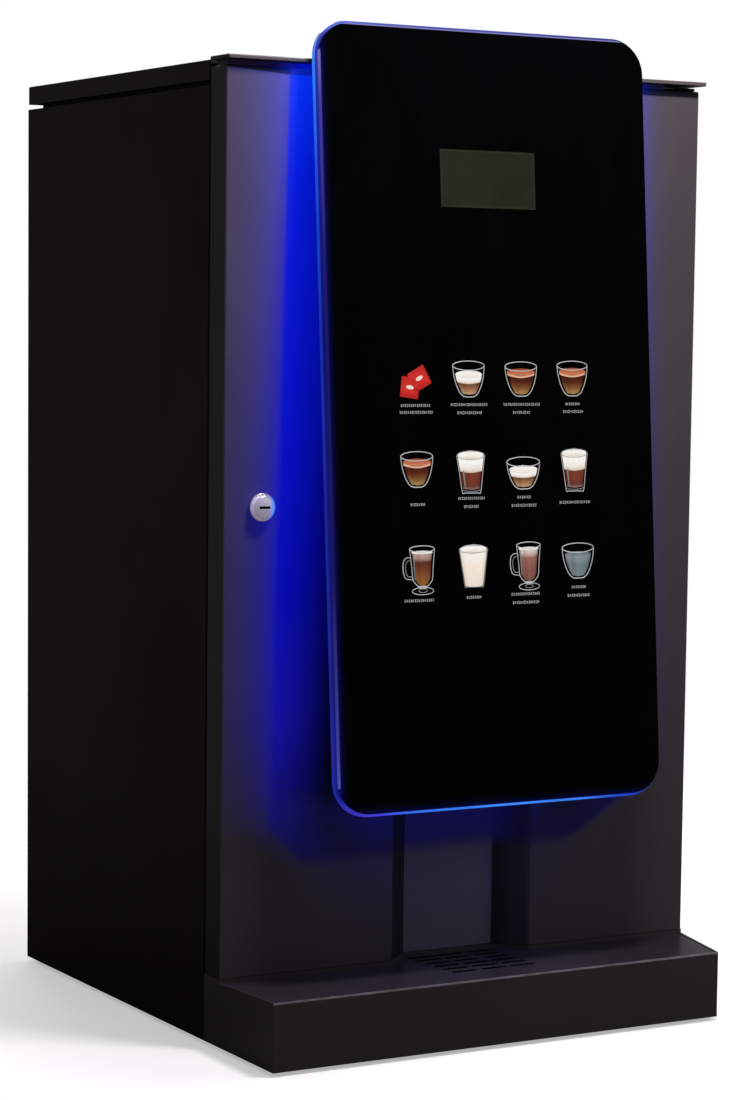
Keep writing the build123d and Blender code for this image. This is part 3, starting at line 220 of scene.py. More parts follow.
def brushed(name, base, rough=0.32, along="X", line=1400.0):
    """Rolled or brushed metal with fine parallel scratches."""
    n = Net(name)
    stretch = {"X": (0.02, 1, 1), "Y": (1, 0.02, 1), "Z": (1, 1, 0.02)}[along]
    scratch = n.noise(line, 3.0, 0.6, stretch=stretch)
    cloud = n.noise(14.0, 4.0, 0.6)
    colour = n.mix(n.lin(scratch, 0.3, 0.7), scaled(base, 0.78), scaled(base, 1.12))
    colour = n.mix(n.mul(n.lin(cloud, 0.35, 0.75), 0.35), colour, scaled(base, 0.72))
    r = n.add(n.lin(scratch, 0.25, 0.75, rough - 0.08, rough + 0.1), n.lin(cloud, 0.3, 0.7, -0.04, 0.05))
    return n.surface(colour, r, 1.0, 0.5, n.bump(scratch, 0.25, 0.00004))


# ---------------------------------------------------------------- blue light on the door
BLUE_Z = ((0.05, 0.0), (0.118, 0.0), (0.135, 0.035), (0.150, 0.06), (0.170, 0.12), (0.235, 0.32), (0.34, 0.44),
          (0.46, 0.56), (0.60, 0.68), (0.66, 0.86), (0.69, 0.95))


def glow(n):
    """(mask of the shaded zone behind the glass, blue light) at a point of the door."""
    _, x, y, z, _ = n.coords()
    fz = n.lin(z, 0.0, 0.72)
    amount = n.ramp(fz, [(a / 0.72, (b, b, b)) for a, b in BLUE_Z])
    half = n.lin(z, 0.16, 0.69, 0.1615, 0.1503)
    half_r = n.lin(z, 0.16, 0.69, 0.1615, 0.1472)
    soft = n.lin(z, 0.16, 0.62, 0.0055, 0.0014)     # the zone's edge is crisper higher up
    inside_l = n.add(x, half)                       # distance inside the left edge
    inside_r = n.sub(half_r, x)
    # lower corners: a rounded one on the left, a slow one on the right
    lowz = n.sub(z, 0.128)
    cut_l = n.math("MINIMUM", 0.0, n.mul(n.sub(lowz, 0.030), 1.0))
    cut_r = n.math("MINIMUM", 0.0, n.mul(n.sub(lowz, 0.045), 1.6))
    edge_l = n.add(inside_l, cut_l)
    edge_r = n.add(inside_r, cut_r)
    front = n.sub(1.0, n.step(y, -0.1305, -0.1300))
    mask = n.mul(n.mul(n.step(edge_l, n.mul(soft, -1.0), soft), n.step(edge_r, n.mul(soft, -1.3), n.mul(soft, 1.3))),
                 n.step(lowz, -0.004, 0.010))
    mask = n.mul(mask, front)
    # spill over the zone's edge
    spill_l = n.math("EXPONENT", n.mul(n.math("MAXIMUM", n.mul(edge_l, -1.0), 0.0), -1.0 / 0.020))
    spill_r = n.math("EXPONENT", n.mul(n.math("MAXIMUM", n.mul(edge_r, -1.0), 0.0), -1.0 / 0.007))
    spill = n.mul(n.mul(spill_l, spill_r), n.step(z, 0.105, 0.19))
    spill_low = n.mul(n.mul(n.step(z, 0.06, 0.135), n.step(edge_l, -0.03, 0.02)), n.step(edge_r, -0.02, 0.10))
    # the light falls off towards the middle of the door
    depth = n.lin(n.math("MINIMUM", edge_l, edge_r), 0.006, 0.045, 1.0, n.lin(z, 0.22, 0.50, 0.06, 0.30))
    right_fade = n.lin(x, 0.0, 0.11, 1.0, 0.30)
    low_fade = n.math("MAXIMUM", n.step(z, 0.165, 0.19), right_fade)
    inner = n.mul(n.mul(n.mul(amount, depth), mask), low_fade)
    outer = n.mul(n.mul(n.mul(amount, n.lin(z, 0.35, 0.66, 0.86, 0.60)), spill), n.sub(1.0, mask))
    outer = n.mul(outer, n.lin(x, -0.05, 0.05, 1.0, 0.55))
    foot = n.mul(n.mul(mask, n.sub(1.0, n.step(z, 0.166, 0.182))), n.lin(z, 0.128, 0.160, 0.018, 0.060))
    foot = n.mul(foot, n.lin(x, -0.115, -0.070, 0.35, 1.0))
    inner = n.add(inner, n.mul(foot, n.lin(x, 0.03, 0.09, 1.0, 0.22)))
    low = n.mul(n.mul(spill_low, 0.012), n.sub(1.0, mask))
    # nothing on the rounded left edge, nor in the shadow of the cap's lip
    clear = n.mul(front, n.step(x, -0.1996, -0.1986))
    lip = n.lin(x, -0.200, -0.150, 0.6915, 0.6880)
    shadow = n.step(z, lip, n.add(lip, 0.0010))
    light = n.mul(n.add(n.add(inner, outer), low), clear)
    light = n.mul(light, n.sub(1.0, n.mul(shadow, n.lin(x, -0.170, -0.146, 0.92, 0.50))))
    mask = n.math("MAXIMUM", mask, n.mul(shadow, front))
    return mask, light, fz


def door_paint(name, base, rough=0.4, spec=0.35, shade=0.93, recess=False):
    n = Net(name)
    mask, light, fz = glow(n)
    drift = n.noise(7.0, 4.0, 0.55)
    fine = n.noise(1100.0, 2.0, 0.5)
    colour = n.mix(n.lin(drift, 0.3, 0.7), scaled(base, 0.92), scaled(base, 1.08))
    if recess:
        _, x, y, z, _ = n.coords()
        deep = n.step(y, -0.1300, -0.1290)
        back = n.step(y, -0.1120, -0.1114)
        # painted shade on the recess's walls, darkest on the left, lighter on the outer part of the right cheek
        colour = n.mix(deep, colour, n.mix(n.step(x, 0.041, 0.052), (0.010, 0.009, 0.012), (0.040, 0.034, 0.038)))
        # painted light on the recess's back: a lighter tone than the coat elsewhere
        colour = n.mix(back, colour, n.mix(n.lin(drift, 0.3, 0.7), (0.115, 0.108, 0.118), (0.138, 0.130, 0.142)))
        # shade under the glass, with a little of the strip's light in it
        line = n.sub(0.0600, n.mul(n.add(y, 0.131), 1.125))
        open_side = n.sub(1.0, n.step(n.sub(n.math("ABSOLUTE", x), line), 0.0003, 0.0008))
        open_side = n.mul(open_side, n.sub(1.0, n.step(y, -0.1108, -0.1105)))
        under_glass = n.mul(n.mul(deep, n.step(z, 0.124, 0.138)), open_side)
        colour = n.mix(n.mul(under_glass, 0.93), colour, (0.002, 0.002, 0.004))
        under_glass = n.mul(under_glass, n.lin(x, -0.0385, -0.0370, 0.12, 1.0))
        light = n.add(light, n.mul(n.mul(under_glass, n.lin(x, 0.052, 0.040, 0.35, 1.0)), n.lin(z, 0.130, 0.165, 0.034, 0.060)))
    else:
        _, x, y, z, _ = n.coords()
        # painted shade on the door's side faces
        flank_shade = n.mul(n.step(y, -0.1303, -0.1296), n.step(n.math("ABSOLUTE", x), 0.1985, 0.1995))
        colour = n.mix(flank_shade, colour, (0.0030, 0.0018, 0.0016))
        # painted highlight along the door's rounded left edge
        edge = n.mul(n.sub(1.0, n.step(x, -0.1996, -0.1990)), n.sub(1.0, flank_shade))
        colour = n.mix(edge, colour, (0.085, 0.078, 0.080))
    colour = n.mix(n.mul(n.lin(fine, 0.35, 0.65), 0.2), colour, scaled(base, 0.75))
    colour = n.mix(n.mul(mask, shade), colour, (0.0006, 0.0006, 0.0016))
    hue = n.ramp(fz, [(0.0, (0.10, 0.08, 1.0)), (0.22, (0.03, 0.02, 1.0)), (0.45, (0.003, 0.004, 1.0)),
                      (0.66, (0.002, 0.008, 1.0)), (0.86, (0.001, 0.014, 1.0)), (0.96, (0.001, 0.034, 1.0))])
    r = n.add(n.lin(drift, 0.3, 0.7, rough - 0.04, rough + 0.05), n.lin(fine, 0.3, 0.7, -0.02, 0.02))
    return n.surface(colour, r, 0.0, spec, n.bump(fine, 0.3, 0.00005), emit=hue, emit_strength=light)


# ---------------------------------------------------------------- materials of the CAD nodes
PANEL = moulded("black_powder_coat", (0.0088, 0.0062, 0.0046), 0.50, 0.12, grain=1300.0, depth=0.00008, vary=0.10, patch=5.0)
LID = moulded("black_lid_coat", (0.0095, 0.0072, 0.0066), 0.46, 0.15, grain=1300.0, depth=0.00008, vary=0.10, patch=5.0)
REAR = moulded("rear_panel_coat", (0.015, 0.012, 0.010), 0.5, 0.28, grain=1300.0, depth=0.00008, vary=0.12, patch=5.0)
DOOR = door_paint("satin_door_coat", (0.060, 0.050, 0.056))
SPLASH = door_paint("satin_splash_coat", (0.057, 0.048, 0.054), 0.45, 0.3, recess=True)


def cap_material():
    """Cap coat; the neck under the lip and the lip's underside are painted dark as shade, and the neck carries painted
    blue light from the strip.
    """
    n = Net("satin_cap_coat")
    _, x, y, z, _ = n.coords()
    base = (0.070, 0.061, 0.067)
    drift = n.noise(9.0, 4.0, 0.55)
    fine = n.noise(1100.0, 2.0, 0.5)
    colour = n.mix(n.lin(drift, 0.3, 0.7), scaled(base, 0.92), scaled(base, 1.08))
    # painted shade below the lip: the neck and the lip's underside are darkened
    below = n.sub(1.0, n.step(z, 0.6964, 0.6969))
    neck = n.mul(below, n.mul(n.step(y, -0.1290, -0.1284), n.sub(1.0, n.step(y, -0.1276, -0.1272))))
    colour = n.mix(n.math("MAXIMUM", below, n.sub(1.0, n.step(n.math("ABSOLUTE", n.add(z, -0.697)), 0.00005, 0.0002))),
                   colour, (0.0015, 0.001, 0.002))
    # painted shade on the cap's side faces
    flank_shade = n.step(n.math("ABSOLUTE", x), 0.2012, 0.2018)
    colour = n.mix(flank_shade, colour, (0.0030, 0.0018, 0.0016))
    # painted blue light on the neck, standing in for the strip's light
    hue = n.ramp(n.lin(x, -0.200, 0.200), [(0.0, (0.003, 0.0, 0.004)), (0.05, (0.003, 0.0, 0.009)), (0.10, (0.002, 0.0, 0.035)),
                                           (0.135, (0.001, 0.003, 0.30)), (0.155, (0.001, 0.004, 0.50)), (0.84, (0.001, 0.004, 0.35)), (0.90, (0.003, 0.002, 0.03)),
                                           (0.96, (0.001, 0.0005, 0.001))])
    r = n.add(n.lin(drift, 0.3, 0.7, 0.34, 0.43), n.lin(fine, 0.3, 0.7, -0.02, 0.02))
    return n.surface(colour, r, 0.0, 0.45, n.bump(fine, 0.3, 0.00005), emit=hue, emit_strength=neck)


def tray_material():
    """Tray coat with a painted highlight: a lighter, broken line along its upper front edge."""
    n = Net("satin_tray_coat")
    _, x, y, z, _ = n.coords()
    base = (0.047, 0.040, 0.043)
    drift = n.noise(7.0, 4.0, 0.55)
    fine = n.noise(1100.0, 2.0, 0.5)
    highlight_breakup = n.noise(60.0, 4.0, 0.65)
    colour = n.mix(n.lin(drift, 0.3, 0.7), scaled(base, 0.90), scaled(base, 1.10))
    colour = n.mix(n.mul(n.lin(fine, 0.35, 0.65), 0.22), colour, scaled(base, 0.75))
    # painted highlight along the tray's upper front edge, broken up by noise
    edge = n.mul(n.sub(1.0, n.step(y, -0.21285, -0.21235)), n.step(z, TRAY_EDGE - 0.0007, TRAY_EDGE - 0.0003))
    edge = n.mul(edge, n.lin(highlight_breakup, 0.3, 0.6, 0.45, 1.0))
    colour = n.mix(edge, colour, (0.42, 0.41, 0.45))
    r = n.add(n.lin(drift, 0.3, 0.7, 0.30, 0.39), n.lin(fine, 0.3, 0.7, -0.02, 0.02))
    return n.surface(colour, r, 0.0, 0.45, n.bump(fine, 0.3, 0.00005))


def grille_material():
    """Grille coat, darker towards the right; the walls of the drain slots are painted dark as shade."""
    n = Net("satin_grille_coat")
    _, x, y, z, _ = n.coords()
    base = (0.034, 0.030, 0.039)
    drift = n.noise(7.0, 4.0, 0.55)
    fine = n.noise(1100.0, 2.0, 0.5)
    top = n.add(0.0489, n.mul(n.sub(-0.131, y), 0.031707))
    colour = n.mix(n.lin(drift, 0.3, 0.7), scaled(base, 0.92), scaled(base, 1.08))
    # darker towards the right
    colour = n.mix(n.step(x, 0.03, 0.14), colour, scaled(base, 0.62))
    # painted shade on the walls of the drain slots, below the grille's top
    below = n.step(n.sub(top, z), 0.00008, 0.00022)
    colour = n.mix(below, colour, (0.0012, 0.0012, 0.0020))
    r = n.add(n.lin(drift, 0.3, 0.7, 0.22, 0.31), n.lin(fine, 0.3, 0.7, -0.02, 0.02))
    return n.surface(colour, r, 0.0, 0.5, n.bump(fine, 0.25, 0.00004))


GRILLE = grille_material()
TRAY_EDGE = 0.0512
CAP = cap_material()
TRAY = tray_material()
FOOT = moulded("foot_rubber", (0.018, 0.018, 0.018), 0.8, 0.3, grain=500.0, depth=0.00015, vary=0.15)
ZINC = brushed("zinc_steel", (0.55, 0.55, 0.56), 0.36, "X", 900.0)
STEEL = brushed("rolled_steel", (0.52, 0.51, 0.50), 0.34, "X", 1100.0)
STEEL_V = brushed("rolled_steel_upright", (0.50, 0.50, 0.49), 0.34, "Z", 1100.0)
HOUSING = moulded("black_abs", (0.015, 0.015, 0.017), 0.5, 0.4, grain=700.0, depth=0.0001)
MOTOR = moulded("motor_grey_plastic", (0.10, 0.10, 0.11), 0.5, 0.4, grain=700.0, depth=0.0001)
BIN = moulded("bin_black_plastic", (0.028, 0.028, 0.028), 0.42, 0.45, grain=600.0, depth=0.0001)
WHITE = moulded("food_white_plastic", (0.72, 0.71, 0.68), 0.4, 0.45, grain=600.0, depth=0.00008, vary=0.05)
BRASS = brushed("turned_brass", (0.72, 0.52, 0.24), 0.3, "Y", 1500.0)
HOSE = moulded("silicone_hose", (0.62, 0.60, 0.56), 0.5, 0.4, grain=400.0, depth=0.00008, vary=0.08)
CANISTER = moulded("canister_plastic", (0.56, 0.53, 0.48), 0.3, 0.5, grain=400.0, depth=0.00005, vary=0.06)
HOPPER = moulded("smoked_hopper", (0.13, 0.085, 0.06), 0.18, 0.5, grain=300.0, depth=0.00004, vary=0.1)


def board_material():
    n = Net("solder_masked_board")
    cell = n.node("ShaderNodeTexVoronoi")
    cell.inputs["Scale"].default_value = 260.0
    n.put(cell.inputs["Vector"], n.coords()[0])
    fine = n.noise(90.0, 3.0, 0.6)
    colour = n.mix(n.step(fine, 0.47, 0.53), (0.012, 0.11, 0.045), (0.02, 0.17, 0.07))
    colour = n.mix(n.math("LESS_THAN", cell.outputs["Distance"], 0.14), colour, (0.55, 0.5, 0.35))
    return n.surface(colour, 0.38, 0.0, 0.5, n.bump(fine, 0.3, 0.00005))


BOARD = board_material()


def chrome_material():
    n = Net("polished_chrome")
    ring = n.noise(500.0, 3.0, 0.6, stretch=(1, 0.1, 1))
    haze = n.noise(60.0, 3.0, 0.5)
    _, x, y, z, _ = n.coords()
    colour = n.mix(n.lin(ring, 0.3, 0.7), (0.66, 0.66, 0.72), (0.86, 0.86, 0.92))
    r = n.add(n.lin(ring, 0.3, 0.7, 0.12, 0.18), n.lin(haze, 0.3, 0.7, 0.0, 0.08))
    # painted reflection of the strip's blue light on the side that faces it, and a paler painted sheen across the rest
    near = n.step(x, -0.1675, -0.1625)
    soft = n.ramp(n.lin(n.add(n.mul(x, 0.45), z), 0.300, 0.321), [(0.0, (0.10, 0.085, 0.10)), (0.45, (0.17, 0.14, 0.24)),
                                                                  (0.8, (0.36, 0.33, 0.46)), (1.0, (0.16, 0.15, 0.17))])
    emit = n.mix(near, soft, (0.02, 0.16, 0.80))
    out = n.sub(1.0, n.step(y, -0.1335, -0.1325))
    # painted shade in the key slot, which also takes no painted sheen
    slot = n.mul(n.math("LESS_THAN", n.math("ABSOLUTE", n.add(x, 0.17)), 0.00425), n.math("LESS_THAN", n.math("ABSOLUTE", n.sub(z, 0.387)), 0.00095))
    slot = n.mul(slot, n.step(y, -0.1369, -0.1367))
    colour = n.mix(slot, colour, (0.004, 0.004, 0.012))
    out = n.mul(out, n.sub(1.0, slot))
    return n.surface(colour, r, 1.0, 0.5, n.bump(ring, 0.15, 0.00003), emit=emit, emit_strength=out)


CHROME = chrome_material()


def glass_material():
    """Black-backed polished glass: wiped surface with faint streaks."""
    n = Net("black_glass")
    smear = n.noise(16.0, 5.0, 0.6, stretch=(1.0, 1.0, 0.35), dist=0.8)
    dust = n.noise(1500.0, 2.0, 0.5)
    colour = n.mix(n.step(smear, 0.35, 0.8), (0.0003, 0.0003, 0.0004), (0.0007, 0.0007, 0.0010))
    r = n.add(n.lin(smear, 0.3, 0.8, 0.035, 0.07), n.lin(dust, 0.4, 0.7, 0.0, 0.01))
    # light that creeps in from the lit edges
    _, x, y, z, _ = n.coords()
    from_left = n.math("EXPONENT", n.mul(n.add(x, 0.136), -1.0 / 0.0016))
    from_low = n.math("EXPONENT", n.mul(n.sub(z, 0.1726), -1.0 / 0.0016))
    creep = n.math("MINIMUM", n.add(from_left, n.mul(from_low, 0.6)), 1.0)
    # painted light on the glass's bevelled rim, brightest along the bottom and top
    rim = n.math("MAXIMUM", n.sub(1.0, n.step(x, -0.1357, -0.1353)), n.step(z, 0.7242, 0.7246))
    emit = n.mix(creep, (0.0, 0.0, 0.0), (0.004, 0.006, 0.13))
    bevel = n.ramp(n.lin(z, 0.17, 0.73), [(0.0, (0.10, 0.11, 0.52)), (0.08, (0.05, 0.05, 0.30)), (0.30, (0.010, 0.008, 0.10)),
                                          (0.70, (0.012, 0.010, 0.16)), (0.90, (0.06, 0.05, 0.34)), (1.0, (0.26, 0.24, 0.55))])
    emit = n.mix(rim, emit, bevel)
    return n.surface(colour, r, 0.0, 0.06, n.bump(smear, 0.02, 0.00004), emit=emit, emit_strength=1.0)


GLASS = glass_material()


def guide_material():
    """Edge-lit acrylic: each side has its own brightness, strongest at the lower edge."""
    n = Net("edge_lit_acrylic")
    _, x, y, z, _ = n.coords()
    cloud = n.noise(26.0, 3.0, 0.5)
    fz = n.lin(z, 0.16, 0.73)
    left = n.ramp(fz, [(0.0, (0.010, 0.030, 0.42)), (0.10, (0.012, 0.018, 0.26)), (0.35, (0.008, 0.016, 0.26)),
                       (0.62, (0.008, 0.028, 0.38)), (0.82, (0.012, 0.07, 0.62)), (0.94, (0.03, 0.22, 0.95)),
                       (1.0, (0.22, 0.27, 0.50))])
    low = n.ramp(n.lin(x, -0.14, 0.14), [(0.0, (0.025, 0.030, 0.42)), (0.14, (0.050, 0.040, 0.62)),
                                         (0.26, (0.030, 0.16, 0.88)), (0.50, (0.045, 0.24, 0.98)),
                                         (0.74, (0.035, 0.20, 0.92)), (0.88, (0.012, 0.055, 0.60)), (1.0, (0.015, 0.010, 0.28))])
    top = n.ramp(n.lin(x, -0.14, 0.14), [(0.0, (0.10, 0.18, 0.70)), (0.25, (0.06, 0.07, 0.38)), (0.7, (0.028, 0.028, 0.25)),
                                         (1.0, (0.012, 0.010, 0.10))])
    # the border that shows round the glass, darker than the side wall
    deep = n.sub(n.mul(n.add(y, 0.19015), 0.99686), n.mul(n.sub(z, 0.17111), 0.07924))
    border = n.sub(1.0, n.step(deep, 0.00405, 0.00420))
    left = n.mix(n.mul(border, 0.9), left, n.ramp(fz, [(0.0, (0.010, 0.008, 0.20)), (0.6, (0.003, 0.003, 0.10)),
                                                      (0.85, (0.006, 0.003, 0.22)), (1.0, (0.020, 0.010, 0.36))]))
    side = n.mix(n.step(x, 0.05, 0.12), left, (0.006, 0.005, 0.022))
    colour = n.mix(n.step(z, 0.176, 0.186), low, side)
    colour = n.mix(n.step(z, 0.716, 0.7225), colour, top)
    # the back is painted black
    colour = n.mix(n.step(deep, 0.00780, 0.00795), colour, (0.0008, 0.0010, 0.0050))
    strength = n.lin(cloud, 0.3, 0.7, 0.85, 1.15)
    return n.surface((0.01, 0.012, 0.03), 0.12, 0.0, 0.5, emit=colour, emit_strength=strength)


GUIDE = guide_material()


def led_material():
    n = Net("led_strip")
    _, x, y, z, _ = n.coords()
    dots = n.math("SINE", n.mul(z, 2 * math.pi / 0.0167))
    lit = n.lin(dots, -0.2, 0.9, 0.5, 1.6)
    colour = n.mix(n.noise(120.0, 2.0, 0.5), (0.02, 0.06, 1.0), (0.03, 0.12, 1.0))
    return n.surface((0.3, 0.32, 0.4), 0.4, 0.0, 0.4, emit=colour, emit_strength=lit)


LED = led_material()


def display_material():
    """Unlit character display behind the glass; its colour is painted as emitted light."""
    n = Net("unlit_display")
    _, x, y, z, _ = n.coords()
    cols = n.math("SINE", n.mul(x, 2 * math.pi / 0.0009))
    rows = n.math("SINE", n.mul(z, 2 * math.pi / 0.0009))
    grid = n.mul(n.lin(cols, 0.6, 1.0), 0.5)
    grid = n.add(grid, n.mul(n.lin(rows, 0.6, 1.0), 0.5))
    drift = n.noise(30.0, 3.0, 0.5)
    colour = n.mix(n.lin(drift, 0.3, 0.7), srgb(34, 37, 27), srgb(41, 44, 32))
    colour = n.mix(n.mul(grid, 0.18), colour, srgb(26, 28, 21))
    frame_x = n.math("GREATER_THAN", n.math("ABSOLUTE", n.add(x, 0.0011)), 0.0384)
    frame_z = n.math("GREATER_THAN", n.math("ABSOLUTE", n.sub(z, 0.6203)), 0.0190)
    colour = n.mix(n.mul(n.math("MAXIMUM", frame_x, frame_z), 0.6), colour, srgb(46, 49, 38))
    return n.surface((0.0, 0.0, 0.0), 0.3, 0.0, 0.15, emit=colour, emit_strength=1.0)


DISPLAY = display_material()

PAINT = {
    "base_pan": STEEL, "left_side_panel": PANEL, "right_side_panel": PANEL, "rear_panel": REAR, "rear_panel_screws": ZINC,
    "top_frame": LID, "bulkhead_plate": STEEL_V, "canister_shelf": STEEL, "mixer_bracket": STEEL, "rubber_feet": FOOT,
    "hinge_arms": LID, "powder_canisters": CANISTER, "canister_lids": HOUSING, "powder_outlets": WHITE,
    "auger_motors": MOTOR, "mixing_bowls": WHITE, "mixer_motors": MOTOR, "bean_hopper": HOPPER, "grinder_body": MOTOR,
    "brew_frame": WHITE, "brew_chamber": WHITE, "coffee_chute": WHITE, "grounds_bin": BIN, "boiler_tank": STEEL_V,
    "water_pump": MOTOR, "solenoid_valves": BRASS, "power_supply_box": STEEL, "fan_housing": HOUSING,
    "mains_inlet": HOUSING, "water_inlet_fitting": BRASS, "outlet_block": WHITE, "drink_hoses": HOSE,
    "door_face": DOOR, "splash_panel": SPLASH, "door_liner": STEEL, "door_bushes": BRASS, "door_top_cap": CAP,
    "glass_housing": HOUSING, "light_guide": GUIDE, "glass_panel": GLASS, "display_module": BOARD, "touch_board": BOARD,
    "control_board": BOARD, "led_strips": LED, "drink_chute": HOUSING, "lock_body": CHROME, "lock_plug": CHROME,
    "top_lid": LID, "drip_tray_box": TRAY, "drip_tray_cover": GRILLE, "hopper_shutter": STEEL, "auger_left": WHITE,
    "auger_middle": WHITE, "auger_right": WHITE, "whipper_left": WHITE, "whipper_right": WHITE, "grinder_burr": ZINC,
    "fan_rotor": HOUSING, "brew_piston": WHITE, "power_switch": HOUSING,
}
for name, o in N.items():
    mat = PAINT[name]
    if o.data.materials:
        for i in range(len(o.data.materials)):
            o.data.materials[i] = mat
    else:
        o.data.materials.append(mat)


def ease(name, width, segments=2, angle=35.0):
    """Small rounding of a sheet or moulding's edges."""
    o = N[name]
    w = o.modifiers.new("weld", "WELD")
    w.merge_threshold = 0.00001
    b = o.modifiers.new("ease", "BEVEL")
    b.width = width
    b.segments = segments
    b.limit_method = "ANGLE"
    b.angle_limit = math.radians(angle)
    b.harden_normals = True


for name, width in (("door_top_cap", 0.0003), ("drip_tray_box", 0.0005), ("top_lid", 0.0005),
                    ("left_side_panel", 0.0004), ("right_side_panel", 0.0004)):
    ease(name, width)


# ---------------------------------------------------------------- printed pictures on the glass
lo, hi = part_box("glass_panel")
# the glass's front plane, from its lower front edge to its upper one
G0 = Vector((0.0, -0.19015, 0.17111))
G1 = Vector((0.0, -0.14594, 0.72728))
UP = (G1 - G0).normalized()
OUT = Vector((1, 0, 0)).cross(UP)          # away from the door
if OUT.y > 0:
    OUT = -OUT


def on_glass(u, v, lift):
    """Point on the glass, u mm across, v mm up from its lower edge, lift mm in front."""
    return G0 + Vector((u / 1000.0, 0, 0)) + UP * (v / 1000.0) + OUT * (lift / 1000.0)


def make(name, verts, faces, mat, body="door", uvs=None):
    me = bpy.data.meshes.new(name)
    me.from_pydata(verts, [], faces)
    if uvs is not None:
        layer = me.uv_layers.new(name="UVMap")
        for poly in me.polygons:
            for li in poly.loop_indices:
                layer.data[li].uv = uvs[me.loops[li].vertex_index]
    me.materials.append(mat)
    me.update()
    o = bpy.data.objects.new(name, me)
    scene.collection.objects.link(o)
    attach(o, body)
    return o


class Sheet:
    """Collects flat printed shapes in glass coordinates (mm) into one mesh."""

    def __init__(self, lift):
        self.v, self.f, self.uv, self.lift = [], [], [], lift

    def fan(self, pts, uvs):
        base = len(self.v)
        for (a, b) in pts:
            self.v.append(on_glass(a, b, self.lift))
        self.uv.extend(uvs)
        self.f.append(tuple(range(base, base + len(pts))))

    def strip(self, left, right, u0=0.0, u1=1.0):
        """Band between two equal point lists, u across, v along the list."""
        base = len(self.v)
        k = len(left)
        for i in range(k):
            t = i / (k - 1)
            self.v.append(on_glass(*left[i], self.lift))
            self.uv.append((u0, t))
            self.v.append(on_glass(*right[i], self.lift))
            self.uv.append((u1, t))
        for i in range(k - 1):
            a = base + 2 * i
            self.f.append((a, a + 1, a + 3, a + 2))

    def grid(self, rows):
        """rows: list of (v, u_left, u_right) from low to high, filled with columns so that u and v run 0..1."""
        cols = 8
        base = len(self.v)
        for i, (v, a, b) in enumerate(rows):
            for j in range(cols + 1):
                t = j / cols
                self.v.append(on_glass(a + (b - a) * t, v if not callable(v) else v(t), self.lift))
                self.uv.append((t, i / (len(rows) - 1)))
        for i in range(len(rows) - 1):
            for j in range(cols):
                p = base + i * (cols + 1) + j
                self.f.append((p, p + 1, p + cols + 2, p + cols + 1))

    def stroke(self, pts, w, closed=False):
        k = len(pts)
        L, R = [], []
        for i in range(k):
            p = Vector(pts[i])
            a = Vector(pts[(i - 1) % k] if closed or i > 0 else pts[i])
            b = Vector(pts[(i + 1) % k] if closed or i < k - 1 else pts[i])
            d = (b - a)
            d = d.normalized() if d.length > 1e-9 else Vector((1, 0))
            nrm = Vector((-d.y, d.x)) * (w / 2)
            L.append(tuple(p + nrm))
            R.append(tuple(p - nrm))
        if closed:
            L.append(L[0])
            R.append(R[0])
        self.strip(L, R)

    def make(self, name, mat):
        return make(name, self.v, self.f, mat, uvs=self.uv)


def print_material(name, stops, rough=0.35, streak=0.0, glow_amount=0.0, across=None):
    """Screen print: a colour ramp up the shape, a little unevenness, and darker sides where the picture is round."""
    n = Net(name)
    obj, _, _, _, uv = n.coords()
    s = n.node("ShaderNodeSeparateXYZ")
    n.put(s.inputs[0], uv)
    u, v = s.outputs[0], s.outputs[1]
    grain = n.noise(700.0, 2.0, 0.6)
    wob = n.add(v, n.mul(n.sub(n.noise(300.0, 2.0, 0.5), 0.5), 0.10))
    colour = n.ramp(wob, stops)
    if across:
        side = n.ramp(u, across)
        colour = n.mix(1.0, colour, side, blend="MULTIPLY")
    colour = n.mix(n.mul(n.lin(grain, 0.3, 0.7), 0.12), colour, (0.0, 0.0, 0.0))
    return n.surface((0.0, 0.0, 0.0), rough, 0.0, 0.1, emit=colour, emit_strength=1.0)


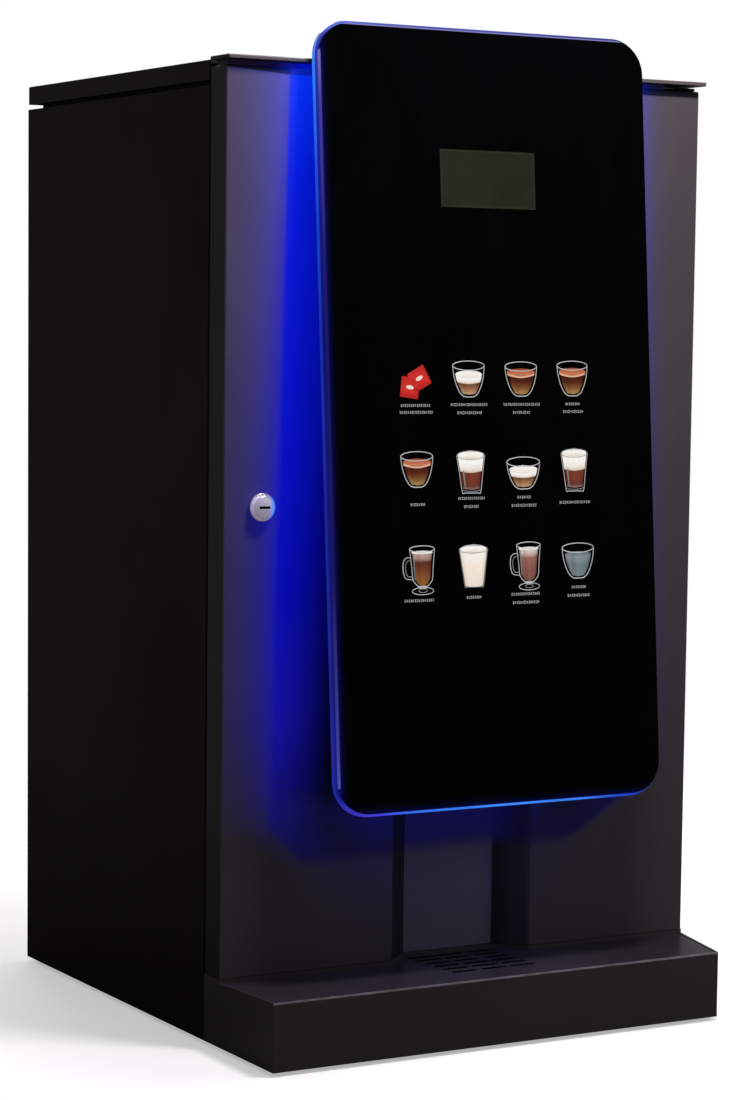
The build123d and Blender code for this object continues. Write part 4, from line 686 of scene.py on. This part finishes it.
ROUND = [(0.0, (0.55, 0.55, 0.55)), (0.14, (1.0, 1.0, 1.0)), (0.26, (0.75, 0.75, 0.75)), (0.5, (1.0, 1.0, 1.0)),
         (0.84, (0.85, 0.85, 0.85)), (1.0, (0.55, 0.55, 0.55))]
INK = {
    "line": print_material("print_line", [(0.0, srgb(176, 176, 178)), (0.5, srgb(205, 205, 208)), (1.0, srgb(178, 178, 180))]),
    "line_soft": print_material("print_line_soft", [(0.0, srgb(120, 118, 118)), (1.0, srgb(150, 148, 148))]),
    "text": print_material("print_caption", [(0.0, srgb(170, 170, 172)), (1.0, srgb(190, 190, 192))]),
    "foam": print_material("print_foam", [(0.0, srgb(214, 190, 168)), (0.22, srgb(240, 232, 222)), (0.6, srgb(252, 250, 246)),
                                          (1.0, srgb(238, 234, 228))]),
    "latte": print_material("print_latte", [(0.0, srgb(196, 158, 120)), (0.45, srgb(158, 112, 76)), (0.8, srgb(120, 78, 50)),
                                            (1.0, srgb(150, 108, 80))], across=ROUND),
    "crema": print_material("print_crema", [(0.0, srgb(205, 130, 98)), (0.5, srgb(190, 104, 68)), (1.0, srgb(150, 76, 46))]),
    "crema_hi": print_material("print_crema_edge", [(0.0, srgb(236, 190, 166)), (1.0, srgb(218, 150, 118))]),
    "coffee": print_material("print_coffee", [(0.0, srgb(176, 138, 84)), (0.3, srgb(134, 88, 50)), (0.62, srgb(92, 42, 24)),
                                              (1.0, srgb(70, 26, 18))], across=ROUND),
    "mocha": print_material("print_mocha", [(0.0, srgb(150, 120, 116)), (0.16, srgb(110, 58, 46)), (0.5, srgb(126, 58, 42)),
                                            (0.9, srgb(120, 62, 48)), (1.0, srgb(170, 130, 112))], across=ROUND),
    "choc": print_material("print_chocolate", [(0.0, srgb(150, 96, 48)), (0.4, srgb(122, 68, 44)), (0.70, srgb(92, 46, 36)),
                                               (0.82, srgb(178, 142, 130)), (1.0, srgb(196, 170, 162))], across=ROUND),
    "choc_milk": print_material("print_milk_chocolate", [(0.0, srgb(128, 84, 74)), (0.45, srgb(142, 92, 82)), (0.72, srgb(158, 108, 98)),
                                                         (0.86, srgb(214, 190, 186)), (1.0, srgb(228, 214, 210))], across=ROUND),
    "milk": print_material("print_milk", [(0.0, srgb(240, 226, 210)), (0.5, srgb(248, 232, 216)), (0.85, srgb(250, 246, 236)),
                                          (1.0, srgb(236, 232, 222))], across=[(0.0, (0.8, 0.8, 0.78)), (0.2, (1, 1, 1)), (0.85, (1, 1, 1)), (1.0, (0.8, 0.78, 0.76))]),
    "water": print_material("print_water", [(0.0, srgb(120, 132, 138)), (0.5, srgb(112, 126, 132)), (1.0, srgb(146, 158, 162))], across=ROUND),
    "red": print_material("print_sachet", [(0.0, srgb(178, 30, 28)), (0.5, srgb(212, 52, 46)), (1.0, srgb(190, 40, 36))]),
    "red_dark": print_material("print_sachet_fold", [(0.0, srgb(120, 16, 16)), (1.0, srgb(150, 26, 24))]),
    "cream": print_material("print_sachet_mark", [(0.0, srgb(240, 214, 200)), (1.0, srgb(250, 232, 224))]),
}
LAYERS = {}


def layer(kind, lift):
    if kind not in LAYERS:
        LAYERS[kind] = Sheet(lift)
    return LAYERS[kind]


def ellipse(cx, cy, a, b, n=40, t0=0.0, t1=2 * math.pi):
    full = abs(t1 - t0 - 2 * math.pi) < 1e-6
    k = n if full else n + 1
    return [(cx + a * math.cos(t0 + (t1 - t0) * i / n), cy + b * math.sin(t0 + (t1 - t0) * i / n)) for i in range(k)]


def smooth(pts, n=6):
    """Points of a smooth open line through pts."""
    out = []
    k = len(pts)
    for i in range(k - 1):
        p0, p1, p2, p3 = pts[max(i - 1, 0)], pts[i], pts[i + 1], pts[min(i + 2, k - 1)]
        for j in range(n):
            t = j / n
            out.append(tuple(0.5 * (2 * p1[c] + (p2[c] - p0[c]) * t + (2 * p0[c] - 5 * p1[c] + 4 * p2[c] - p3[c]) * t * t
                                    + (-p0[c] + 3 * p1[c] - 3 * p2[c] + p3[c]) * t ** 3) for c in (0, 1)))
    out.append(pts[-1])
    return out


def half_at(profile, h):
    """Half width of a profile [(height, half width)] at a height."""
    for (h0, w0), (h1, w1) in zip(profile, profile[1:]):
        if h0 <= h <= h1:
            return w0 + (w1 - w0) * (h - h0) / max(h1 - h0, 1e-9)
    return profile[-1][1]


def fill(kind, lift, cx, profile, h0, h1, inset, bow, top_bow=None):
    """Band of liquid between two heights of a profile, its ends bowed as the rim is."""
    rows, steps = [], 10
    tb = bow if top_bow is None else top_bow
    for i in range(steps + 1):
        t = i / steps
        h = h0 + (h1 - h0) * t
        w = max(half_at(profile, h) - inset, 0.4)
        b = bow + (tb - bow) * t
        rows.append(((lambda tt, hh=h, bb=b: hh - bb * math.sin(math.pi * tt)), cx - w, cx + w))
    layer(kind, lift).grid(rows)


def disc(kind, lift, cx, cy, a, b):
    """Filled ellipse as a grid, so that its ramp runs from low to high."""
    rows, steps = [], 12
    for i in range(steps + 1):
        s = -1 + 2 * i / steps
        w = a * math.sqrt(max(1 - s * s, 0.0004))
        rows.append((cy + b * s, cx - w, cx + w))
    layer(kind, lift).grid(rows)


LW = 0.62


def body_outline(cx, profile, w=LW, kind="line"):
    left = smooth([(cx - a, h) for h, a in reversed(profile)])
    right_ = smooth([(cx + a, h) for h, a in profile])
    layer(kind, 0.12).stroke(left + right_[1:], w)


def cup_profile(cy, width, height, rim):
    """Rounded cup below a rim ellipse centred at cy: [(height, half width)], from the foot up."""
    half = width / 2
    top = cy + height / 2 - rim
    low = cy - height / 2
    d = top - low
    return [(low, half * 0.20), (low + d * 0.025, half * 0.36), (low + d * 0.12, half * 0.56), (low + d * 0.33, half * 0.76),
            (low + d * 0.60, half * 0.91), (low + d * 0.82, half * 0.975), (top, half)], top


def cup(cx, cy, width, height, kind):
    rim = width * 0.125
    prof, top = cup_profile(cy, width, height, rim)
    low = prof[0][0]
    d = top - low
    if kind == "foam":
        fill("latte", 0.05, cx, prof, low + d * 0.11, low + d * 0.50, 1.7, 0.7, 1.0)
        fill("foam", 0.07, cx, prof, low + d * 0.47, low + d * 0.70, 1.5, 1.3, 0.4)
        disc("foam", 0.08, cx, low + d * 0.72, half_at(prof, low + d * 0.72) - 1.3, rim * 0.85)
    elif kind == "crema":
        fill("coffee", 0.05, cx, prof, low + d * 0.10, low + d * 0.72, 1.9, 0.8, 1.3)
        fill("crema_hi", 0.07, cx, prof, low + d * 0.70, low + d * 0.78, 1.4, 1.9, 2.2)
        disc("crema", 0.08, cx, low + d * 0.81, half_at(prof, low + d * 0.81) - 1.3, rim * 0.78)
    elif kind == "water":
        fill("water", 0.05, cx, prof, low + d * 0.10, low + d * 0.80, 2.0, 0.8, 0.4)
        disc("water", 0.06, cx, low + d * 0.80, half_at(prof, low + d * 0.80) - 2.0, rim * 0.5)
    body_outline(cx, prof)
    layer("line", 0.12).stroke(ellipse(cx, top, width / 2, rim), LW, closed=True)


def tumbler(cx, cy, width, height, kind):
    half = width / 2
    rim = width * 0.13
    low, top = cy - height / 2, cy + height / 2 - rim
    d = top - low
    prof = [(low + d * 0.0, half * 0.50), (low + d * 0.03, half * 0.66), (low + d * 0.5, half * 0.82), (top, half)]
    if kind == "milk":
        fill("milk", 0.05, cx, prof, low + d * 0.03, top, 0.5, 0.8, 0.2)
        disc("foam", 0.07, cx, top + 0.3, half - 1.0, rim * 1.0)
        body_outline(cx, prof, 0.45, "line_soft")
        layer("line_soft", 0.12).stroke(ellipse(cx, top, half, rim * 0.9), 0.42, closed=True)
        return
    fill("mocha", 0.05, cx, prof, low + d * 0.12, low + d * 0.62, 1.3, 0.8, 1.0)
    fill("foam", 0.07, cx, prof, low + d * 0.58, top, 0.8, 1.2, 0.2)
    disc("foam", 0.08, cx, top + 0.4, half - 1.0, rim * 1.0)
    body_outline(cx, prof, 0.5)
    layer("line_soft", 0.12).stroke(ellipse(cx, top, half, rim), 0.42, closed=True)
    layer("line_soft", 0.12).stroke(ellipse(cx, low + d * 0.09, half * 0.62, rim * 0.42, 24, math.pi, 2 * math.pi), 0.5)
    layer("line_soft", 0.11).stroke([(cx - half * 0.44, low + d * 0.14), (cx - half * 0.55, low + d * 0.60)], 0.9)


def mug(cx, cy, width, height, kind):
    """Footed glass with a handle on the left."""
    x0, x1 = cx - width / 2, cx + width / 2
    bw = width * 0.39                       # half width of the glass
    bx = x1 - bw
    rim = bw * 0.22
    low, top = cy - height / 2, cy + height / 2 - rim
    d = top - low
    prof = [(low + d * 0.17, bw * 0.22), (low + d * 0.20, bw * 0.42), (low + d * 0.27, bw * 0.66), (low + d * 0.36, bw * 0.80),
            (low + d * 0.60, bw * 0.86), (top, bw)]
    fill(kind, 0.05, bx, prof, low + d * 0.235, low + d * 0.93, 1.9, 0.8, 0.5)
    disc("foam", 0.07, bx, low + d * 0.925, bw * 0.98 - 1.3, rim * 0.55)
    body_outline(bx, prof, 0.55)
    layer("line", 0.12).stroke(ellipse(bx, top, bw, rim), 0.62, closed=True)
    layer("line", 0.12).stroke(ellipse(bx, low + rim * 1.15, bw * 0.86, rim * 1.15), 0.5, closed=True)
    layer("line_soft", 0.12).stroke(ellipse(bx, low + rim * 1.25, bw * 0.34, rim * 0.55), 0.45, closed=True)
    layer("line", 0.12).stroke(ellipse(bx, low + d * 0.165, bw * 0.36, rim * 0.42), 0.45, closed=True)
    hl = bx - bw * 0.90
    outer = smooth([(hl, low + d * 0.80), (hl - bw * 0.28, low + d * 0.82), (x0 + 0.9, low + d * 0.76), (x0, low + d * 0.60),
                    (x0 + 0.6, low + d * 0.46), (x0 + 2.4, low + d * 0.36), (hl + 1.0, low + d * 0.335)])
    inner = smooth([(hl, low + d * 0.74), (hl - bw * 0.26, low + d * 0.75), (x0 + 2.6, low + d * 0.69), (x0 + 2.1, low + d * 0.58),
                    (x0 + 2.7, low + d * 0.47), (x0 + 4.0, low + d * 0.41), (hl + 0.8, low + d * 0.40)])
    layer("line", 0.12).stroke(outer, 0.55)
    layer("line_soft", 0.12).stroke(inner, 0.5)
    layer("line_soft", 0.11).stroke([(bx - bw * 0.62, low + d * 0.33), (bx - bw * 0.70, low + d * 0.88)], 0.7)


def sachet(cx, cy, size, turn):
    """Square packet with a crimped edge and a plain light patch."""
    c, s = math.cos(turn), math.sin(turn)

    def at(a, b):
        return (cx + a * c - b * s, cy + a * s + b * c)

    h = size / 2
    edge = []
    teeth = 10
    for k, (ax, ay, bx, by) in enumerate(((-h, -h, h, -h), (h, -h, h, h), (h, h, -h, h), (-h, h, -h, -h))):
        for i in range(teeth):
            t = i / teeth
            bump_out = 0.22 if i % 2 else 0.0
            nx, ny = ((0, -1), (1, 0), (0, 1), (-1, 0))[k]
            edge.append(at(ax + (bx - ax) * t + nx * bump_out, ay + (by - ay) * t + ny * bump_out))
    base = layer("red", 0.05 if turn < 0 else 0.07)
    start = len(base.v)
    base.v.append(on_glass(*at(0, 0), base.lift))
    base.uv.append((0.5, 0.5))
    for i, p in enumerate(edge):
        base.v.append(on_glass(*p, base.lift))
        base.uv.append((0.5 + 0.5 * (p[0] - cx) / size, 0.5 + (p[1] - cy) / (size * 1.4)))
    k = len(edge)
    for i in range(k):
        base.f.append((start, start + 1 + i, start + 1 + (i + 1) % k))
    for f_ in (0.84,):
        layer("red_dark", 0.09).stroke([at(-h * f_, -h * f_), at(h * f_, -h * f_), at(h * f_, h * f_), at(-h * f_, h * f_)], 0.35, closed=True)
    layer("cream", 0.10).fan([at(a * 1.0, b * 1.0) for a, b in ellipse(0, 0.2, h * 0.42, h * 0.20, 20)],
                             [(0.5, 0.5)] * 20)
    layer("red_dark", 0.11).stroke([at(-h * 0.28, -h * 0.02), at(h * 0.26, h * 0.10)], 0.45)


def caption(cx, cy, lines, height):
    """Rows of plain dashes where the captions stand."""
    ink = layer("text", 0.12)
    n_lines = len(lines)
    pitch = (height - 2.1) / max(n_lines - 1, 1)
    for r, width in enumerate(lines):
        y = cy + (height - 2.1) / 2 - r * pitch if n_lines > 1 else cy
        x = cx - width / 2
        k = 0
        while x < cx + width / 2 - 0.6:
            w = (1.25, 0.95, 1.45, 1.1, 0.8)[(k * 3 + r * 2 + int(abs(cx))) % 5]
            w = min(w, cx + width / 2 - x)
            h = (1.7, 1.95, 1.8)[(k + r) % 3]
            # a plain open box, so that the row reads as grey as small print does
            b = 0.34
            if k % 3 == 1:
                ink.stroke([(x + w / 2, y - h / 2), (x + w / 2, y + h / 2)], b)
                ink.stroke([(x, y), (x + w, y)], b * 0.9)
            elif k % 3 == 2:
                ink.stroke([(x, y + h / 2 - b / 2), (x + w, y + h / 2 - b / 2)], b)
                ink.stroke([(x, y - h / 2 + b / 2), (x + w, y - h / 2 + b / 2)], b)
                ink.stroke([(x + w / 2, y - h / 2), (x + w / 2, y + h / 2)], b * 0.8)
            else:
                ink.stroke([(x + b / 2, y - h / 2), (x + b / 2, y + h / 2), (x + w - b / 2, y + h / 2), (x + w - b / 2, y - h / 2)],
                           b, closed=True)
            x += w + 0.52
            k += 1


sachet(-62.8, 308.0, 14.5, math.radians(28))
sachet(-70.8, 301.6, 14.5, math.radians(-8))
cup(-21.8, 307.7, 26.4, 25.7, "foam")
cup(22.5, 307.7, 27.0, 24.8, "crema")
cup(66.8, 308.1, 26.2, 25.3, "crema")
cup(-66.7, 243.7, 26.3, 25.2, "crema")
tumbler(-21.9, 241.2, 23.5, 30.0, "mocha")
cup(22.5, 239.9, 28.0, 23.1, "foam")
tumbler(66.7, 241.4, 23.0, 30.6, "mocha")
mug(-67.3, 172.2, 26.3, 34.7, "choc")
tumbler(-21.7, 174.0, 23.9, 30.1, "milk")
mug(22.2, 172.6, 26.0, 34.7, "choc_milk")
cup(67.8, 175.3, 27.4, 25.6, "water")
caption(-66.0, 286.5, (25.0, 27.0), 7.0)
caption(-21.8, 286.5, (31.0, 20.5), 7.9)
caption(22.5, 286.5, (31.0, 15.0), 7.9)
caption(66.8, 286.8, (13.0, 17.5), 7.6)
caption(-66.7, 218.8, (12.0,), 2.6)
caption(-21.9, 219.5, (22.5, 13.0), 8.0)
caption(22.5, 219.5, (11.5, 21.5), 8.0)
caption(66.7, 218.0, (27.5,), 2.6)
caption(-67.3, 150.8, (25.0,), 2.6)
caption(-21.7, 151.6, (13.0,), 2.6)
caption(22.2, 149.5, (25.0, 23.0), 8.2)
caption(67.8, 153.0, (12.5, 19.5), 8.2)
for kind, sh in LAYERS.items():
    sh.make("print_" + kind, INK[kind])

# foam seal on the cabinet's rim, under each side of the lid
def seal(name, x):
    n = Net(name + "_foam")
    cell = n.noise(1600.0, 3.0, 0.7)
    mat = n.surface(n.mix(n.lin(cell, 0.3, 0.7), (0.004, 0.004, 0.004), (0.012, 0.012, 0.012)), n.lin(cell, 0.3, 0.7, 0.85, 0.95),
                    0.0, 0.1, n.bump(cell, 0.4, 0.0002))
    prof = [(-0.0007, 0.6786), (0.0007, 0.6786), (0.0007, 0.6868)]
    prof += [(0.0007 * math.cos(math.pi * i / 8), 0.6868 + 0.0007 * math.sin(math.pi * i / 8)) for i in range(1, 8)]
    prof += [(-0.0007, 0.6868)]
    k = len(prof)
    verts = [(x + a, y, b) for y in (-0.1040, 0.1900) for a, b in prof]
    faces = [tuple(range(k - 1, -1, -1)), tuple(range(k, 2 * k))]
    faces += [(i, (i + 1) % k, k + (i + 1) % k, k + i) for i in range(k)]
    make(name, verts, faces, mat, body="cabinet")


seal("lid_seal_left", -0.1968)
seal("lid_seal_right", 0.1968)

# display behind its clear window
win = Sheet(0.06)
rows = [(430.0 + 41.0 * i / 6, -40.9, 38.7) for i in range(7)]
win.grid(rows)
win.make("display_window", DISPLAY)


# ---------------------------------------------------------------- stage
def floor_piece():
    """Pale disc that fades into the white surround."""
    n = Net("pale_floor")
    obj, x, y, z, _ = n.coords()
    cloud = n.noise(1.3, 3.0, 0.5)
    colour = n.mix(n.lin(cloud, 0.3, 0.7), (0.86, 0.86, 0.86), (0.89, 0.89, 0.885))
    lp = n.node("ShaderNodeLightPath")
    colour = n.mix(lp.outputs["Is Camera Ray"], (0.10, 0.10, 0.10), colour)
    far = n.math("SQRT", n.add(n.mul(x, x), n.mul(y, y)))
    seen = n.mul(lp.outputs["Is Camera Ray"], n.lin(far, 0.30, 1.20, 0.42, 0.75))
    alpha = n.sub(1.0, n.step(far, 0.45, 1.45))
    mat = n.surface(colour, 0.9, 0.0, 0.0, emit=(1.0, 1.0, 1.0), emit_strength=seen, alpha=alpha)
    size, k = 1.5, 96
    verts = [(0.0, 0.0, 0.0)] + [(size * math.cos(2 * math.pi * i / k), size * math.sin(2 * math.pi * i / k), 0.0) for i in range(k)]
    me = bpy.data.meshes.new("floor")
    me.from_pydata(verts, [], [(0, 1 + i, 1 + (i + 1) % k) for i in range(k)])
    me.materials.append(mat)
    o = bpy.data.objects.new("floor", me)
    scene.collection.objects.link(o)


floor_piece()

world = bpy.data.worlds.new("studio")
scene.world = world
world.use_nodes = True
wt = world.node_tree
wt.nodes.clear()
wo = wt.nodes.new("ShaderNodeOutputWorld")
wb = wt.nodes.new("ShaderNodeBackground")
wl = wt.nodes.new("ShaderNodeLightPath")
wm = wt.nodes.new("ShaderNodeMix")
wm.data_type = "RGBA"
wm.inputs[6].default_value = (0.15, 0.145, 0.14, 1.0)
wm.inputs[7].default_value = (1.0, 1.0, 1.0, 1.0)
wt.links.new(wl.outputs["Is Camera Ray"], wm.inputs["Factor"])
wt.links.new(wm.outputs[2], wb.inputs["Color"])
wt.links.new(wb.outputs[0], wo.inputs[0])


def area(name, at, target, size, power, colour=(1, 1, 1), size_y=None, glossy=True):
    d = bpy.data.lights.new(name, "AREA")
    d.energy = power
    d.color = colour
    d.shape = "RECTANGLE"
    d.size = size
    d.size_y = size_y or size
    o = bpy.data.objects.new(name, d)
    scene.collection.objects.link(o)
    o.location = at
    o.rotation_mode = "QUATERNION"
    o.rotation_quaternion = (Vector(target) - Vector(at)).to_track_quat("-Z", "Y")
    o.visible_camera = False
    o.visible_glossy = glossy
    return o


area("front_top", (0.03, -0.36, 0.95), (0.0, -0.13, 0.50), 0.16, 4.0, (1.0, 0.93, 1.0), size_y=0.10)
area("right_near", (0.55, -0.55, 0.42), (0.16, -0.13, 0.42), 0.25, 0.72, (1.0, 0.95, 0.98), glossy=False)
under = area("under_glass", (0.0, -0.172, 0.160), (0.0, -0.172, 0.0), 0.20, 0.03, (0.05, 0.08, 1.0), size_y=0.02, glossy=False)
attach(under, "door")
area("over", (0.3, 0.3, 3.2), (0.0, 0.0, 0.0), 2.6, 30.0, (1.0, 1.0, 1.0), glossy=False)
area("back_soft", (0.9, 2.6, 1.4), (0.0, 0.2, 0.35), 1.4, 26.0, (1.0, 0.98, 0.95))
area("right_soft", (2.6, 0.2, 1.3), (0.0, 0.1, 0.35), 1.2, 14.0, (1.0, 0.98, 0.96), glossy=True)
